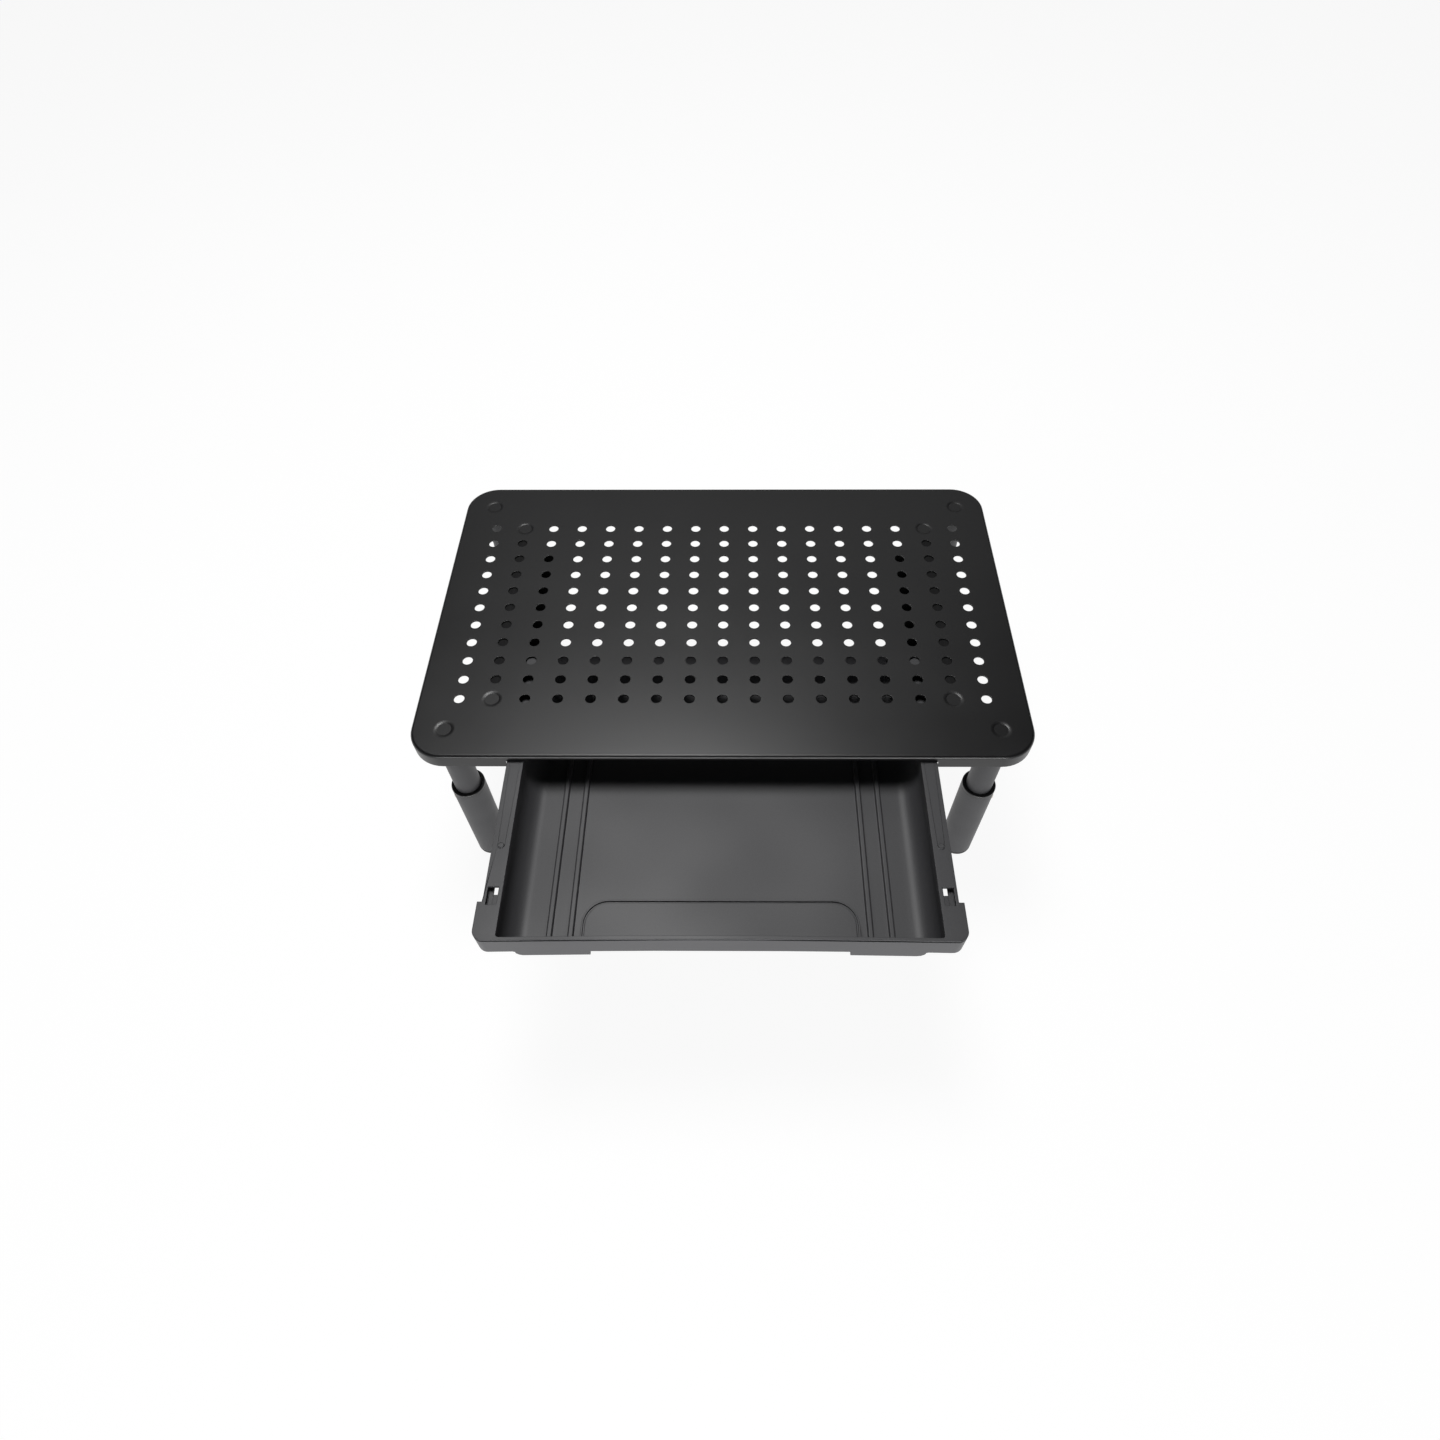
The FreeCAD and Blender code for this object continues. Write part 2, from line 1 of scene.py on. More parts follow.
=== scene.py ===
"""Finished pieces, materials, light and camera for the monitor riser stand.

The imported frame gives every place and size: metres, +X to the stand's right, +Y to its rear, Z = 0 on the
desk. The stand is at full height, with its drawer partly out.
"""
import math

import bmesh
import bpy
from bpy.props import FloatProperty, FloatVectorProperty, IntProperty, PointerProperty
from mathutils import Matrix, Quaternion, Vector
from mathutils.bvhtree import BVHTree


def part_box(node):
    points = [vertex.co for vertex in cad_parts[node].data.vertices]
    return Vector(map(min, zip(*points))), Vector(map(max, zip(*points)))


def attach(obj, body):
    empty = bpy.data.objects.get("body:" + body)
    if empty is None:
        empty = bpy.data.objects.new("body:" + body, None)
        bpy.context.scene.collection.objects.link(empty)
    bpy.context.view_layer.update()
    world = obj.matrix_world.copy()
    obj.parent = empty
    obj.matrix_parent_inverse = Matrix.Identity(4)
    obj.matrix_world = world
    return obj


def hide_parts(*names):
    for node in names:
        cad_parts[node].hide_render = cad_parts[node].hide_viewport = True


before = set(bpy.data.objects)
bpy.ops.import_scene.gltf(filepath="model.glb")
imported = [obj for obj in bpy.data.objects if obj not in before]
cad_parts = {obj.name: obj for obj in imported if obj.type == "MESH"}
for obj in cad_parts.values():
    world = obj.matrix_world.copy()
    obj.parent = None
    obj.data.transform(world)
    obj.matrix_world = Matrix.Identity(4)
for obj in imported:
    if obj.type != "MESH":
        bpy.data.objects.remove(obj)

bl_info = {
    "name": "Monitor riser stand",
    "version": (1, 0, 0),
    "blender": (4, 5, 0),
    "location": "3D View > Sidebar > Riser",
    "description": "Builds the finished pieces of a perforated steel monitor riser with a drawer",
    "category": "Add Mesh",
}

MM = 0.001
LEGS = [f"{end}_{side}" for end in ("front", "rear") for side in ("left", "right")]
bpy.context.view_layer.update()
FIT = 0.05 * MM            # play between two pieces that fit in or round each other
LEAD = 0.5 * MM            # chamfer at the mouth of a thread
CUTTING_SLACK = 5 * MM     # how far a cutter stands out of what it cuts


# --- Measures of the frame ---

def middle(node):
    low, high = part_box(node)
    return (low + high) / 2


def leg_centre(leg):
    centre = middle(f"{leg}_lower_sleeve")
    return Vector((centre.x, centre.y, 0))


SHELF_LOW, SHELF_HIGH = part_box("top_panel")
SHELF_MIDDLE = middle("top_panel")
LEG_MIDDLE = leg_centre("front_right")
TUBE_LOW, TUBE_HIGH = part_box("front_right_upper_tube")
SLEEVE_LOW, SLEEVE_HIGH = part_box("front_right_lower_sleeve")
COLLAR_LOW, COLLAR_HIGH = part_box("front_right_guide_collar")
FOOT_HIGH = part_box("front_right_foot")[1]
PLUG_LOW, PLUG_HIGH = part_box("front_right_tube_plug")
BUTTON_LOW, BUTTON_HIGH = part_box("front_right_snap_button")
SPRING_LOW, SPRING_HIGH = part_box("front_right_clip_spring")
LEG_STUD_LOW, LEG_STUD_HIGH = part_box("leg_weld_studs")
RAIL_STUD_LOW, RAIL_STUD_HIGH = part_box("rail_weld_studs")
NUT_LOW, NUT_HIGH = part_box("rail_flange_nuts")
RAIL_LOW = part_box("drawer_rail_right")[0]
DRAWER_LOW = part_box("drawer_tray")[0]


def linear(code):
    """The linear colour of an sRGB hex code."""
    channels = [int(code[i:i + 2], 16) / 255 for i in (0, 2, 4)]
    return tuple(c / 12.92 if c <= 0.04045 else ((c + 0.055) / 1.055) ** 2.4 for c in channels)


# --- Sizes and colours that a user may change ---

class ShelfSizes(bpy.types.PropertyGroup):
    sheet: FloatProperty(name="Sheet", description="Thickness of the steel sheet", unit="LENGTH",
                         default=1 * MM)
    corner: FloatProperty(name="Corner radius", description="Radius of the shelf's corners in plan",
                          unit="LENGTH", default=21 * MM)
    fold: FloatProperty(name="Fold radius", description="Outer radius where the skirt turns down",
                        unit="LENGTH", default=2 * MM)
    lip: FloatProperty(name="Front lip", description="Height of the skirt left above the drawer",
                       unit="LENGTH", default=3 * MM)
    bay: FloatProperty(name="Drawer bay", description="Half of the width cut out of the front skirt",
                       unit="LENGTH", default=126.3 * MM)
    bay_corner: FloatProperty(name="Bay corner", description="Radius of the bay's upper corners",
                              unit="LENGTH", default=2 * MM)
    hole: FloatProperty(name="Hole radius", description="Radius of the punched holes", unit="LENGTH",
                        default=3.25 * MM)
    hole_roll: FloatProperty(name="Hole edge", description="Radius that the punch rolls on a hole's edge",
                             unit="LENGTH", default=0.18 * MM)
    pitch_x: FloatProperty(name="Pitch across", description="Spacing of the holes from side to side",
                           unit="LENGTH", default=20 * MM)
    pitch_y: FloatProperty(name="Pitch along", description="Spacing of the holes from front to rear",
                           unit="LENGTH", default=15 * MM)
    columns: IntProperty(name="Columns", description="Holes from side to side", default=17)
    rows: IntProperty(name="Rows", description="Holes from front to rear", default=11)
    dimple: FloatProperty(name="Dimple radius", description="Outer radius of the dimple over a weld stud",
                          unit="LENGTH", default=6.2 * MM)
    dimple_floor: FloatProperty(name="Dimple floor", description="Radius of the dimple's flat floor",
                                unit="LENGTH", default=4.4 * MM)
    dimple_depth: FloatProperty(name="Dimple depth", description="Depth of the dimple", unit="LENGTH",
                                default=0.4 * MM)


class LegSizes(bpy.types.PropertyGroup):
    wall: FloatProperty(name="Tube wall", description="Wall of the inner and outer tubes", unit="LENGTH",
                        default=1.2 * MM)
    lock_hole: FloatProperty(name="Lock hole", description="Radius of the height holes in the sleeve",
                             unit="LENGTH", default=3.25 * MM)
    button_hole: FloatProperty(name="Button hole", description="Radius of the inner tube's button hole",
                               unit="LENGTH", default=3.1 * MM)
    button: FloatProperty(name="Button", description="Radius of the snap button", unit="LENGTH",
                          default=3 * MM)
    height_step: FloatProperty(name="Height step", description="Spacing of the height holes", unit="LENGTH",
                               default=20 * MM)
    levels: IntProperty(name="Heights", description="Height holes in each sleeve", default=3)
    spring_strip: FloatProperty(name="Spring strip", description="Thickness of the clip spring",
                                unit="LENGTH", default=0.6 * MM)
    foot_round: FloatProperty(name="Foot rounding", description="Rounding of the foot's lower edge",
                              unit="LENGTH", default=2.5 * MM)


class FastenerSizes(bpy.types.PropertyGroup):
    leg_stud: FloatProperty(name="Leg stud", description="Radius of the leg studs' thread", unit="LENGTH",
                            default=3.9 * MM)
    leg_pitch: FloatProperty(name="Leg thread", description="Pitch of the leg studs' thread", unit="LENGTH",
                             default=1.25 * MM)
    rail_stud: FloatProperty(name="Rail stud", description="Radius of the rail studs' thread", unit="LENGTH",
                             default=2.5 * MM)
    rail_pitch: FloatProperty(name="Rail thread", description="Pitch of the rail studs' thread",
                              unit="LENGTH", default=0.8 * MM)
    head: FloatProperty(name="Stud head", description="Thickness of the leg studs' heads", unit="LENGTH",
                        default=1 * MM)
    nut_flats: FloatProperty(name="Nut", description="Width of the nut across its flats", unit="LENGTH",
                             default=8 * MM)
    nut_flange: FloatProperty(name="Nut flange", description="Thickness of the nut's flange", unit="LENGTH",
                              default=1 * MM)


class EdgeSizes(bpy.types.PropertyGroup):
    moulded: FloatProperty(name="Moulded edge", description="Edge radius of the drawer's moulding",
                           unit="LENGTH", default=0.25 * MM)
    coated: FloatProperty(name="Coated edge", description="Edge radius of cut and coated steel",
                          unit="LENGTH", default=0.2 * MM)
    fold: FloatProperty(name="Rail fold", description="Outer radius of the rails' folds", unit="LENGTH",
                        default=0.9 * MM)


class FinishColours(bpy.types.PropertyGroup):
    coat: FloatVectorProperty(name="Powder coat", description="Colour of the shelf's coating",
                              subtype="COLOR", size=3, min=0, max=1, default=linear("0f0f10"))
    tube: FloatVectorProperty(name="Coated tube", description="Colour of the legs' coating",
                              subtype="COLOR", size=3, min=0, max=1, default=linear("28282a"))
    rail: FloatVectorProperty(name="Rail paint", description="Colour of the rails' paint",
                              subtype="COLOR", size=3, min=0, max=1, default=linear("0b0b0c"))
    plastic: FloatVectorProperty(name="Drawer plastic", description="Colour of the drawer's plastic",
                                 subtype="COLOR", size=3, min=0, max=1, default=linear("3c3c3e"))
    zinc: FloatVectorProperty(name="Zinc plate", description="Colour of the studs, nuts and plugs",
                              subtype="COLOR", size=3, min=0, max=1, default=linear("cdced2"))
    spring: FloatVectorProperty(name="Spring steel", description="Colour of the clip springs",
                                subtype="COLOR", size=3, min=0, max=1, default=linear("8b8a8a"))
    nickel: FloatVectorProperty(name="Nickel", description="Colour of the snap buttons", subtype="COLOR",
                                size=3, min=0, max=1, default=linear("d9d4cb"))
    nylon: FloatVectorProperty(name="Nylon", description="Colour of the guide collars", subtype="COLOR",
                               size=3, min=0, max=1, default=linear("161617"))
    rubber: FloatVectorProperty(name="Rubber", description="Colour of the feet", subtype="COLOR", size=3,
                                min=0, max=1, default=linear("242424"))


class StageSizes(bpy.types.PropertyGroup):
    floor: FloatProperty(name="Floor", description="Side of the square floor", unit="LENGTH", default=8.0)
    eye: FloatVectorProperty(name="Camera place", description="Where the camera stands", size=3,
                             unit="LENGTH", default=(7.7 * MM, -349.65 * MM, 576.9 * MM))
    down: FloatProperty(name="Camera tilt", description="How far the camera looks down", unit="ROTATION",
                        default=math.radians(54.33))
    aside: FloatProperty(name="Camera turn", description="How far the camera looks to the left",
                         unit="ROTATION", default=math.radians(-0.69))
    roll: FloatProperty(name="Camera roll", description="How far the camera leans", unit="ROTATION",
                        default=math.radians(-0.51))
    lens: FloatProperty(name="Lens", description="Focal length in millimetres, on a 36 mm sensor",
                        default=22.56)
    shift: FloatProperty(name="Lens shift", description="Sideways shift, as a part of the frame's width",
                         default=-0.00604)


# --- Node trees ---

def add(tree, kind, inputs=None, **settings):
    """Adds a node. Inputs, by name or number, are values or the sockets that feed them."""
    new = tree.nodes.new(kind)
    for name, value in settings.items():
        setattr(new, name, value)
    for socket, value in (inputs or {}).items():
        if isinstance(value, bpy.types.NodeSocket):
            tree.links.new(value, new.inputs[socket])
        else:
            new.inputs[socket].default_value = value
    return new


def per_metre(size_mm):
    """The texture scale at which a pattern's cells are about this many millimetres apart."""
    return 1 / (size_mm * MM)


WAVE_BANDS = math.tau / 20     # how far apart the bands of a wave texture lie at a scale of 1


def new_material(name):
    made = bpy.data.materials.new(name)
    made.use_nodes = True
    made.node_tree.nodes.clear()
    return made, made.node_tree


def surface(tree, shader):
    add(tree, "ShaderNodeOutputMaterial", {"Surface": shader.outputs[0]})


# --- Materials ---

def powder_coated_steel(colours):
    """Polyester powder coat, sprayed on punched and folded steel and baked.

    It gives the eye a satin black with a broad soft reflection, broken up by faint orange peel. The peel is
    about 0.5 mm across in life and is drawn at 1.2 mm so that it shows.
    """
    made, tree = new_material("powder_coated_steel")
    place = add(tree, "ShaderNodeTexCoord").outputs["Object"]
    peel = add(tree, "ShaderNodeTexNoise", {"Vector": place, "Scale": per_metre(1.2), "Detail": 1.5,
                                            "Roughness": 0.45})
    drift = add(tree, "ShaderNodeTexNoise", {"Vector": place, "Scale": per_metre(55), "Detail": 2.0})
    gloss = add(tree, "ShaderNodeMapRange", {"Value": drift.outputs[0], "From Min": 0.3, "From Max": 0.7,
                                             "To Min": 0.34, "To Max": 0.38})
    bump = add(tree, "ShaderNodeBump", {"Height": peel.outputs[0], "Strength": 0.35,
                                        "Distance": 0.012 * MM})
    tone = add(tree, "ShaderNodeMapRange", {"Value": drift.outputs[0], "From Min": 0.3, "From Max": 0.7,
                                            "To Min": 0.92, "To Max": 1.08})
    colour = add(tree, "ShaderNodeVectorMath", {0: tuple(colours.coat), "Scale": tone.outputs[0]},
                 operation="SCALE")
    surface(tree, add(tree, "ShaderNodeBsdfPrincipled",
                      {"Base Color": colour.outputs[0], "Roughness": gloss.outputs[0], "IOR": 1.46,
                       "Normal": bump.outputs[0]}))
    return made


def powder_coated_tube(colours):
    """Powder coat on drawn steel tube, baked upright.

    It gives the eye a duller black than the shelf's, with a grain of fine grit. The grit is about 0.3 mm in
    life and is drawn at 0.8 mm so that it shows.
    """
    made, tree = new_material("powder_coated_tube")
    place = add(tree, "ShaderNodeTexCoord").outputs["Object"]
    grit = add(tree, "ShaderNodeTexNoise", {"Vector": place, "Scale": per_metre(0.8), "Detail": 2.0})
    drift = add(tree, "ShaderNodeTexNoise", {"Vector": place, "Scale": per_metre(20)})
    gloss = add(tree, "ShaderNodeMapRange", {"Value": drift.outputs[0], "From Min": 0.3, "From Max": 0.7,
                                             "To Min": 0.46, "To Max": 0.54})
    bump = add(tree, "ShaderNodeBump", {"Height": grit.outputs[0], "Strength": 0.4,
                                        "Distance": 0.02 * MM})
    tone = add(tree, "ShaderNodeMapRange", {"Value": grit.outputs[0], "From Min": 0.3, "From Max": 0.7,
                                            "To Min": 0.9, "To Max": 1.1})
    colour = add(tree, "ShaderNodeVectorMath", {0: tuple(colours.tube), "Scale": tone.outputs[0]},
                 operation="SCALE")
    surface(tree, add(tree, "ShaderNodeBsdfPrincipled",
                      {"Base Color": colour.outputs[0], "Roughness": gloss.outputs[0], "IOR": 1.5,
                       "Normal": bump.outputs[0]}))
    return made


def painted_rail_steel(colours):
    """Air-dried matte paint on folded steel strip.

    It gives the eye a flat black, with faint brush-like streaks along the strip where it was rolled. The
    streaks are drawn 0.9 mm apart and 30 mm long.
    """
    made, tree = new_material("painted_rail_steel")
    place = add(tree, "ShaderNodeTexCoord").outputs["Object"]
    along = add(tree, "ShaderNodeMapping", {"Vector": place, "Scale": (1, 0.03, 1)})
    streak = add(tree, "ShaderNodeTexNoise", {"Vector": along.outputs[0], "Scale": per_metre(0.9),
                                              "Detail": 2.0})
    gloss = add(tree, "ShaderNodeMapRange", {"Value": streak.outputs[0], "From Min": 0.3, "From Max": 0.7,
                                             "To Min": 0.68, "To Max": 0.78})
    bump = add(tree, "ShaderNodeBump", {"Height": streak.outputs[0], "Strength": 0.3,
                                        "Distance": 0.01 * MM})
    surface(tree, add(tree, "ShaderNodeBsdfPrincipled",
                      {"Base Color": (*colours.rail, 1), "Roughness": gloss.outputs[0], "IOR": 1.3,
                       "Normal": bump.outputs[0]}))
    return made


def moulded_drawer_plastic(colours):
    """Black ABS, injection moulded in a spark-eroded tool.

    It gives the eye an even matte grey-black with a fine sandy grain, a little smoother in broad patches.
    The grain is about 0.2 mm in life and is drawn at 0.7 mm so that it shows.
    """
    made, tree = new_material("moulded_drawer_plastic")
    place = add(tree, "ShaderNodeTexCoord").outputs["Object"]
    grain = add(tree, "ShaderNodeTexNoise", {"Vector": place, "Scale": per_metre(0.7), "Detail": 2.5,
                                             "Roughness": 0.6})
    pits = add(tree, "ShaderNodeTexVoronoi", {"Vector": place, "Scale": per_metre(0.9)})
    height = add(tree, "ShaderNodeMath", {0: grain.outputs[0], 1: pits.outputs["Distance"]},
                 operation="ADD")
    flow = add(tree, "ShaderNodeTexNoise", {"Vector": place, "Scale": per_metre(70), "Detail": 1.0})
    gloss = add(tree, "ShaderNodeMapRange", {"Value": flow.outputs[0], "From Min": 0.3, "From Max": 0.7,
                                             "To Min": 0.42, "To Max": 0.5})
    bump = add(tree, "ShaderNodeBump", {"Height": height.outputs[0], "Strength": 0.4,
                                        "Distance": 0.02 * MM})
    tone = add(tree, "ShaderNodeMapRange", {"Value": grain.outputs[0], "From Min": 0.3, "From Max": 0.7,
                                            "To Min": 0.93, "To Max": 1.07})
    colour = add(tree, "ShaderNodeVectorMath", {0: tuple(colours.plastic), "Scale": tone.outputs[0]},
                 operation="SCALE")
    surface(tree, add(tree, "ShaderNodeBsdfPrincipled",
                      {"Base Color": colour.outputs[0], "Roughness": gloss.outputs[0], "IOR": 1.42,
                       "Normal": bump.outputs[0]}))
    return made


def zinc_plated_steel(colours):
    """Mild steel, turned or cold-headed, then bright zinc plated.

    It gives the eye a cool silver with faint cloudy patches, and turning marks drawn 0.5 mm apart.
    """
    made, tree = new_material("zinc_plated_steel")
    place = add(tree, "ShaderNodeTexCoord").outputs["Object"]
    cloud = add(tree, "ShaderNodeTexNoise", {"Vector": place, "Scale": per_metre(2.5), "Detail": 3.0})
    gloss = add(tree, "ShaderNodeMapRange", {"Value": cloud.outputs[0], "From Min": 0.3, "From Max": 0.7,
                                             "To Min": 0.24, "To Max": 0.38})
    turned = add(tree, "ShaderNodeTexWave", {"Vector": place, "Scale": per_metre(0.5) * WAVE_BANDS,
                                             "Distortion": 0.6},
                 wave_type="BANDS", bands_direction="Z")
    bump = add(tree, "ShaderNodeBump", {"Height": turned.outputs["Fac"], "Strength": 0.15,
                                        "Distance": 0.01 * MM})
    tone = add(tree, "ShaderNodeMapRange", {"Value": cloud.outputs[0], "From Min": 0.3, "From Max": 0.7,
                                            "To Min": 0.88, "To Max": 1.0})
    colour = add(tree, "ShaderNodeVectorMath", {0: tuple(colours.zinc), "Scale": tone.outputs[0]},
                 operation="SCALE")
    surface(tree, add(tree, "ShaderNodeBsdfPrincipled",
                      {"Base Color": colour.outputs[0], "Roughness": gloss.outputs[0], "Metallic": 1.0,
                       "Normal": bump.outputs[0]}))
    return made


def spring_steel(colours):
    """Carbon steel strip, cold rolled and tempered.

    It gives the eye a mid grey with a straw tint in patches and rolling lines along the strip, drawn 0.3 mm
    apart.
    """
    made, tree = new_material("spring_steel")
    place = add(tree, "ShaderNodeTexCoord").outputs["Object"]
    lines = add(tree, "ShaderNodeMapping", {"Vector": place, "Scale": (0.05, 1, 0.05)})
    rolled = add(tree, "ShaderNodeTexNoise", {"Vector": lines.outputs[0], "Scale": per_metre(0.3),
                                              "Detail": 2.0})
    temper = add(tree, "ShaderNodeTexNoise", {"Vector": place, "Scale": per_metre(9)})
    straw_tint = (*linear("8f7d5a"), 1)
    straw = add(tree, "ShaderNodeMix", {"Factor": temper.outputs[0], 6: (*colours.spring, 1),
                                        7: straw_tint},
                data_type="RGBA")
    gloss = add(tree, "ShaderNodeMapRange", {"Value": rolled.outputs[0], "From Min": 0.3, "From Max": 0.7,
                                             "To Min": 0.28, "To Max": 0.42})
    bump = add(tree, "ShaderNodeBump", {"Height": rolled.outputs[0], "Strength": 0.2,
                                        "Distance": 0.01 * MM})
    surface(tree, add(tree, "ShaderNodeBsdfPrincipled",
                      {"Base Color": straw.outputs[2], "Roughness": gloss.outputs[0], "Metallic": 1.0,
                       "Normal": bump.outputs[0]}))
    return made


def polished_button_steel(colours):
    """Steel pin, nickel plated and tumbled.

    It gives the eye a warm bright metal with random fine scuffs from the tumbling, drawn 0.5 mm across.
    """
    made, tree = new_material("polished_button_steel")
    place = add(tree, "ShaderNodeTexCoord").outputs["Object"]
    scuff = add(tree, "ShaderNodeTexNoise", {"Vector": place, "Scale": per_metre(0.5), "Detail": 4.0,
                                             "Roughness": 0.7})
    gloss = add(tree, "ShaderNodeMapRange", {"Value": scuff.outputs[0], "From Min": 0.35, "From Max": 0.7,
                                             "To Min": 0.12, "To Max": 0.3})
    bump = add(tree, "ShaderNodeBump", {"Height": scuff.outputs[0], "Strength": 0.1,
                                        "Distance": 0.01 * MM})
    surface(tree, add(tree, "ShaderNodeBsdfPrincipled",
                      {"Base Color": (*colours.nickel, 1), "Roughness": gloss.outputs[0], "Metallic": 1.0,
                       "Normal": bump.outputs[0]}))
    return made


def black_nylon(colours):
    """Nylon 6, injection moulded in a bead-blasted tool.

    It gives the eye a deep, slightly waxy black with a soft highlight and a faint blasted grain, drawn
    0.6 mm across.
    """
    made, tree = new_material("black_nylon")
    place = add(tree, "ShaderNodeTexCoord").outputs["Object"]
    grain = add(tree, "ShaderNodeTexNoise", {"Vector": place, "Scale": per_metre(0.6), "Detail": 1.5})
    gloss = add(tree, "ShaderNodeMapRange", {"Value": grain.outputs[0], "From Min": 0.3, "From Max": 0.7,
                                             "To Min": 0.34, "To Max": 0.44})
    bump = add(tree, "ShaderNodeBump", {"Height": grain.outputs[0], "Strength": 0.25,
                                        "Distance": 0.01 * MM})
    surface(tree, add(tree, "ShaderNodeBsdfPrincipled",
                      {"Base Color": (*colours.nylon, 1), "Roughness": gloss.outputs[0], "IOR": 1.53,
                       "Normal": bump.outputs[0]}))
    return made


def black_rubber(colours):
    """Compression-moulded rubber.

    It gives the eye a dull charcoal that takes dust: a rough surface with pale specks and pores, drawn
    0.8 mm across.
    """
    made, tree = new_material("black_rubber")
    place = add(tree, "ShaderNodeTexCoord").outputs["Object"]
    pores = add(tree, "ShaderNodeTexVoronoi", {"Vector": place, "Scale": per_metre(0.8)})
    dust = add(tree, "ShaderNodeTexNoise", {"Vector": place, "Scale": per_metre(1.6), "Detail": 3.0})
    dusty = add(tree, "ShaderNodeMapRange", {"Value": dust.outputs[0], "From Min": 0.5, "From Max": 0.8,
                                             "To Min": 0.0, "To Max": 0.5})
    dust_tint = (*linear("3b3a38"), 1)
    colour = add(tree, "ShaderNodeMix", {"Factor": dusty.outputs[0], 6: (*colours.rubber, 1),
                                         7: dust_tint},
                 data_type="RGBA")
    bump = add(tree, "ShaderNodeBump", {"Height": pores.outputs["Distance"], "Strength": 0.35,
                                        "Distance": 0.03 * MM})
    surface(tree, add(tree, "ShaderNodeBsdfPrincipled",
                      {"Base Color": colour.outputs[2], "Roughness": 0.82, "IOR": 1.52,
                       "Normal": bump.outputs[0]}))
    return made


FINISHES = {make.__name__: make for make in (
    powder_coated_steel, powder_coated_tube, painted_rail_steel, moulded_drawer_plastic,
    zinc_plated_steel, spring_steel, polished_button_steel, black_nylon, black_rubber)}


def finish(slot_name):
    """The material of a slot in the frame's record, made when it is first asked for."""
    ready = bpy.data.materials.get(slot_name)
    if ready and ready.get("finished"):
        return ready
    if ready:
        ready.name = f"{slot_name}_plain"
    made = FINISHES[slot_name](bpy.context.scene.riser_colours)
    made["finished"] = True
    return made


# --- Mesh work ---

def softened(corners, steps=4):
    """A closed outline in a plane; each corner is (across, along, radius), and its arc has so many steps."""
    points = []
    for i, (x, y, radius) in enumerate(corners):
        here = Vector((x, y))
        if not radius:
            points.append(here)
            continue
        back = (Vector(corners[i - 1][:2]) - here).normalized()
        ahead = (Vector(corners[(i + 1) % len(corners)][:2]) - here).normalized()
        half = back.angle(ahead) / 2
        centre = here + (back + ahead).normalized() * radius / math.sin(half)
        start = (here + back * radius / math.tan(half) - centre).normalized()
        end = (here + ahead * radius / math.tan(half) - centre).normalized()
        points += [centre + radius * start.slerp(end, k / steps) for k in range(steps + 1)]
    return points


def skin_rings(work, rings, closed):
    """Joins rings of vertices, each of the same count, with quads."""
    pairs = list(zip(rings, rings[1:] + rings[:1])) if closed else list(zip(rings, rings[1:]))
    for one, other in pairs:
        for i in range(len(one)):
            j = (i + 1) % len(one)
            work.faces.new((one[i], one[j], other[j], other[i]))


def skin_solid(work, rings):
    """Skins rings into a closed solid with flat ends."""
    skin_rings(work, rings, closed=False)
    work.faces.new(rings[0])
    work.faces.new(rings[-1])
    bmesh.ops.recalc_face_normals(work, faces=work.faces)


def circle(radius, height, turns):
    steps = [math.tau * k / turns for k in range(turns)]
    return [Vector((radius * math.cos(t), radius * math.sin(t), height)) for t in steps]


def edge_arc(radius, steps):
    """How far in and how far down each point of a rounded edge lies, from its upper face to its side."""
    turns = [math.radians(90 * k / steps) for k in range(steps + 1)]
    return [(radius * (1 - math.sin(t)), radius * (1 - math.cos(t))) for t in turns]


def lathe(outline, turns=64):
    """Turns an outline of (radius, height) about Z.

    The outline is a closed loop, or it starts and ends on the axis.
    """
    work = bmesh.new()
    solid = outline[0][0] == 0
    inner = outline[1:-1] if solid else outline
    rings = [[work.verts.new(p) for p in circle(r, z, turns)] for r, z in inner]
    skin_rings(work, rings, closed=not solid)
    if solid:
        for ring, (_, height) in ((rings[0], outline[0]), (rings[-1], outline[-1])):
            tip = work.verts.new((0, 0, height))
            for i in range(turns):
                work.faces.new((ring[i], ring[(i + 1) % turns], tip))
    bmesh.ops.recalc_face_normals(work, faces=work.faces)
    return work


def laid_along_x(work):
    """Turns a piece made about Z so that its axis is X and its top faces +X."""
    bmesh.ops.rotate(work, verts=work.verts, matrix=Matrix.Rotation(math.radians(90), 3, "Y"))
    return work


def extruded(outline, depth):
    """A prism of an outline in the XZ plane, centred on Y = 0."""
    work = bmesh.new()
    skin_solid(work, [[work.verts.new((x, y, z)) for x, z in outline] for y in (-depth / 2, depth / 2)])
    return work


def new_piece(name, work):
    """Puts finished mesh work in an object at the origin."""
    mesh = bpy.data.meshes.new(name)
    work.to_mesh(mesh)
    work.free()
    piece = bpy.data.objects.new(name, mesh)
    bpy.context.scene.collection.objects.link(piece)
    return piece


def merged_copy(node):
    """Mesh work on a CAD node's shape, with its loose triangles joined and its flats made whole."""
    work = bmesh.new()
    work.from_mesh(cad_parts[node].data)
    same_place = 0.002 * MM
    flat_within = math.radians(0.6)
    bmesh.ops.remove_doubles(work, verts=work.verts, dist=same_place)
    bmesh.ops.dissolve_limit(work, angle_limit=flat_within, verts=work.verts, edges=work.edges)
    return work


def apply_modifiers(piece):
    graph = bpy.context.evaluated_depsgraph_get()
    mesh = bpy.data.meshes.new_from_object(piece.evaluated_get(graph))
    piece.modifiers.clear()
    spent = piece.data
    mesh.name = piece.name
    piece.data = mesh
    bpy.data.meshes.remove(spent)


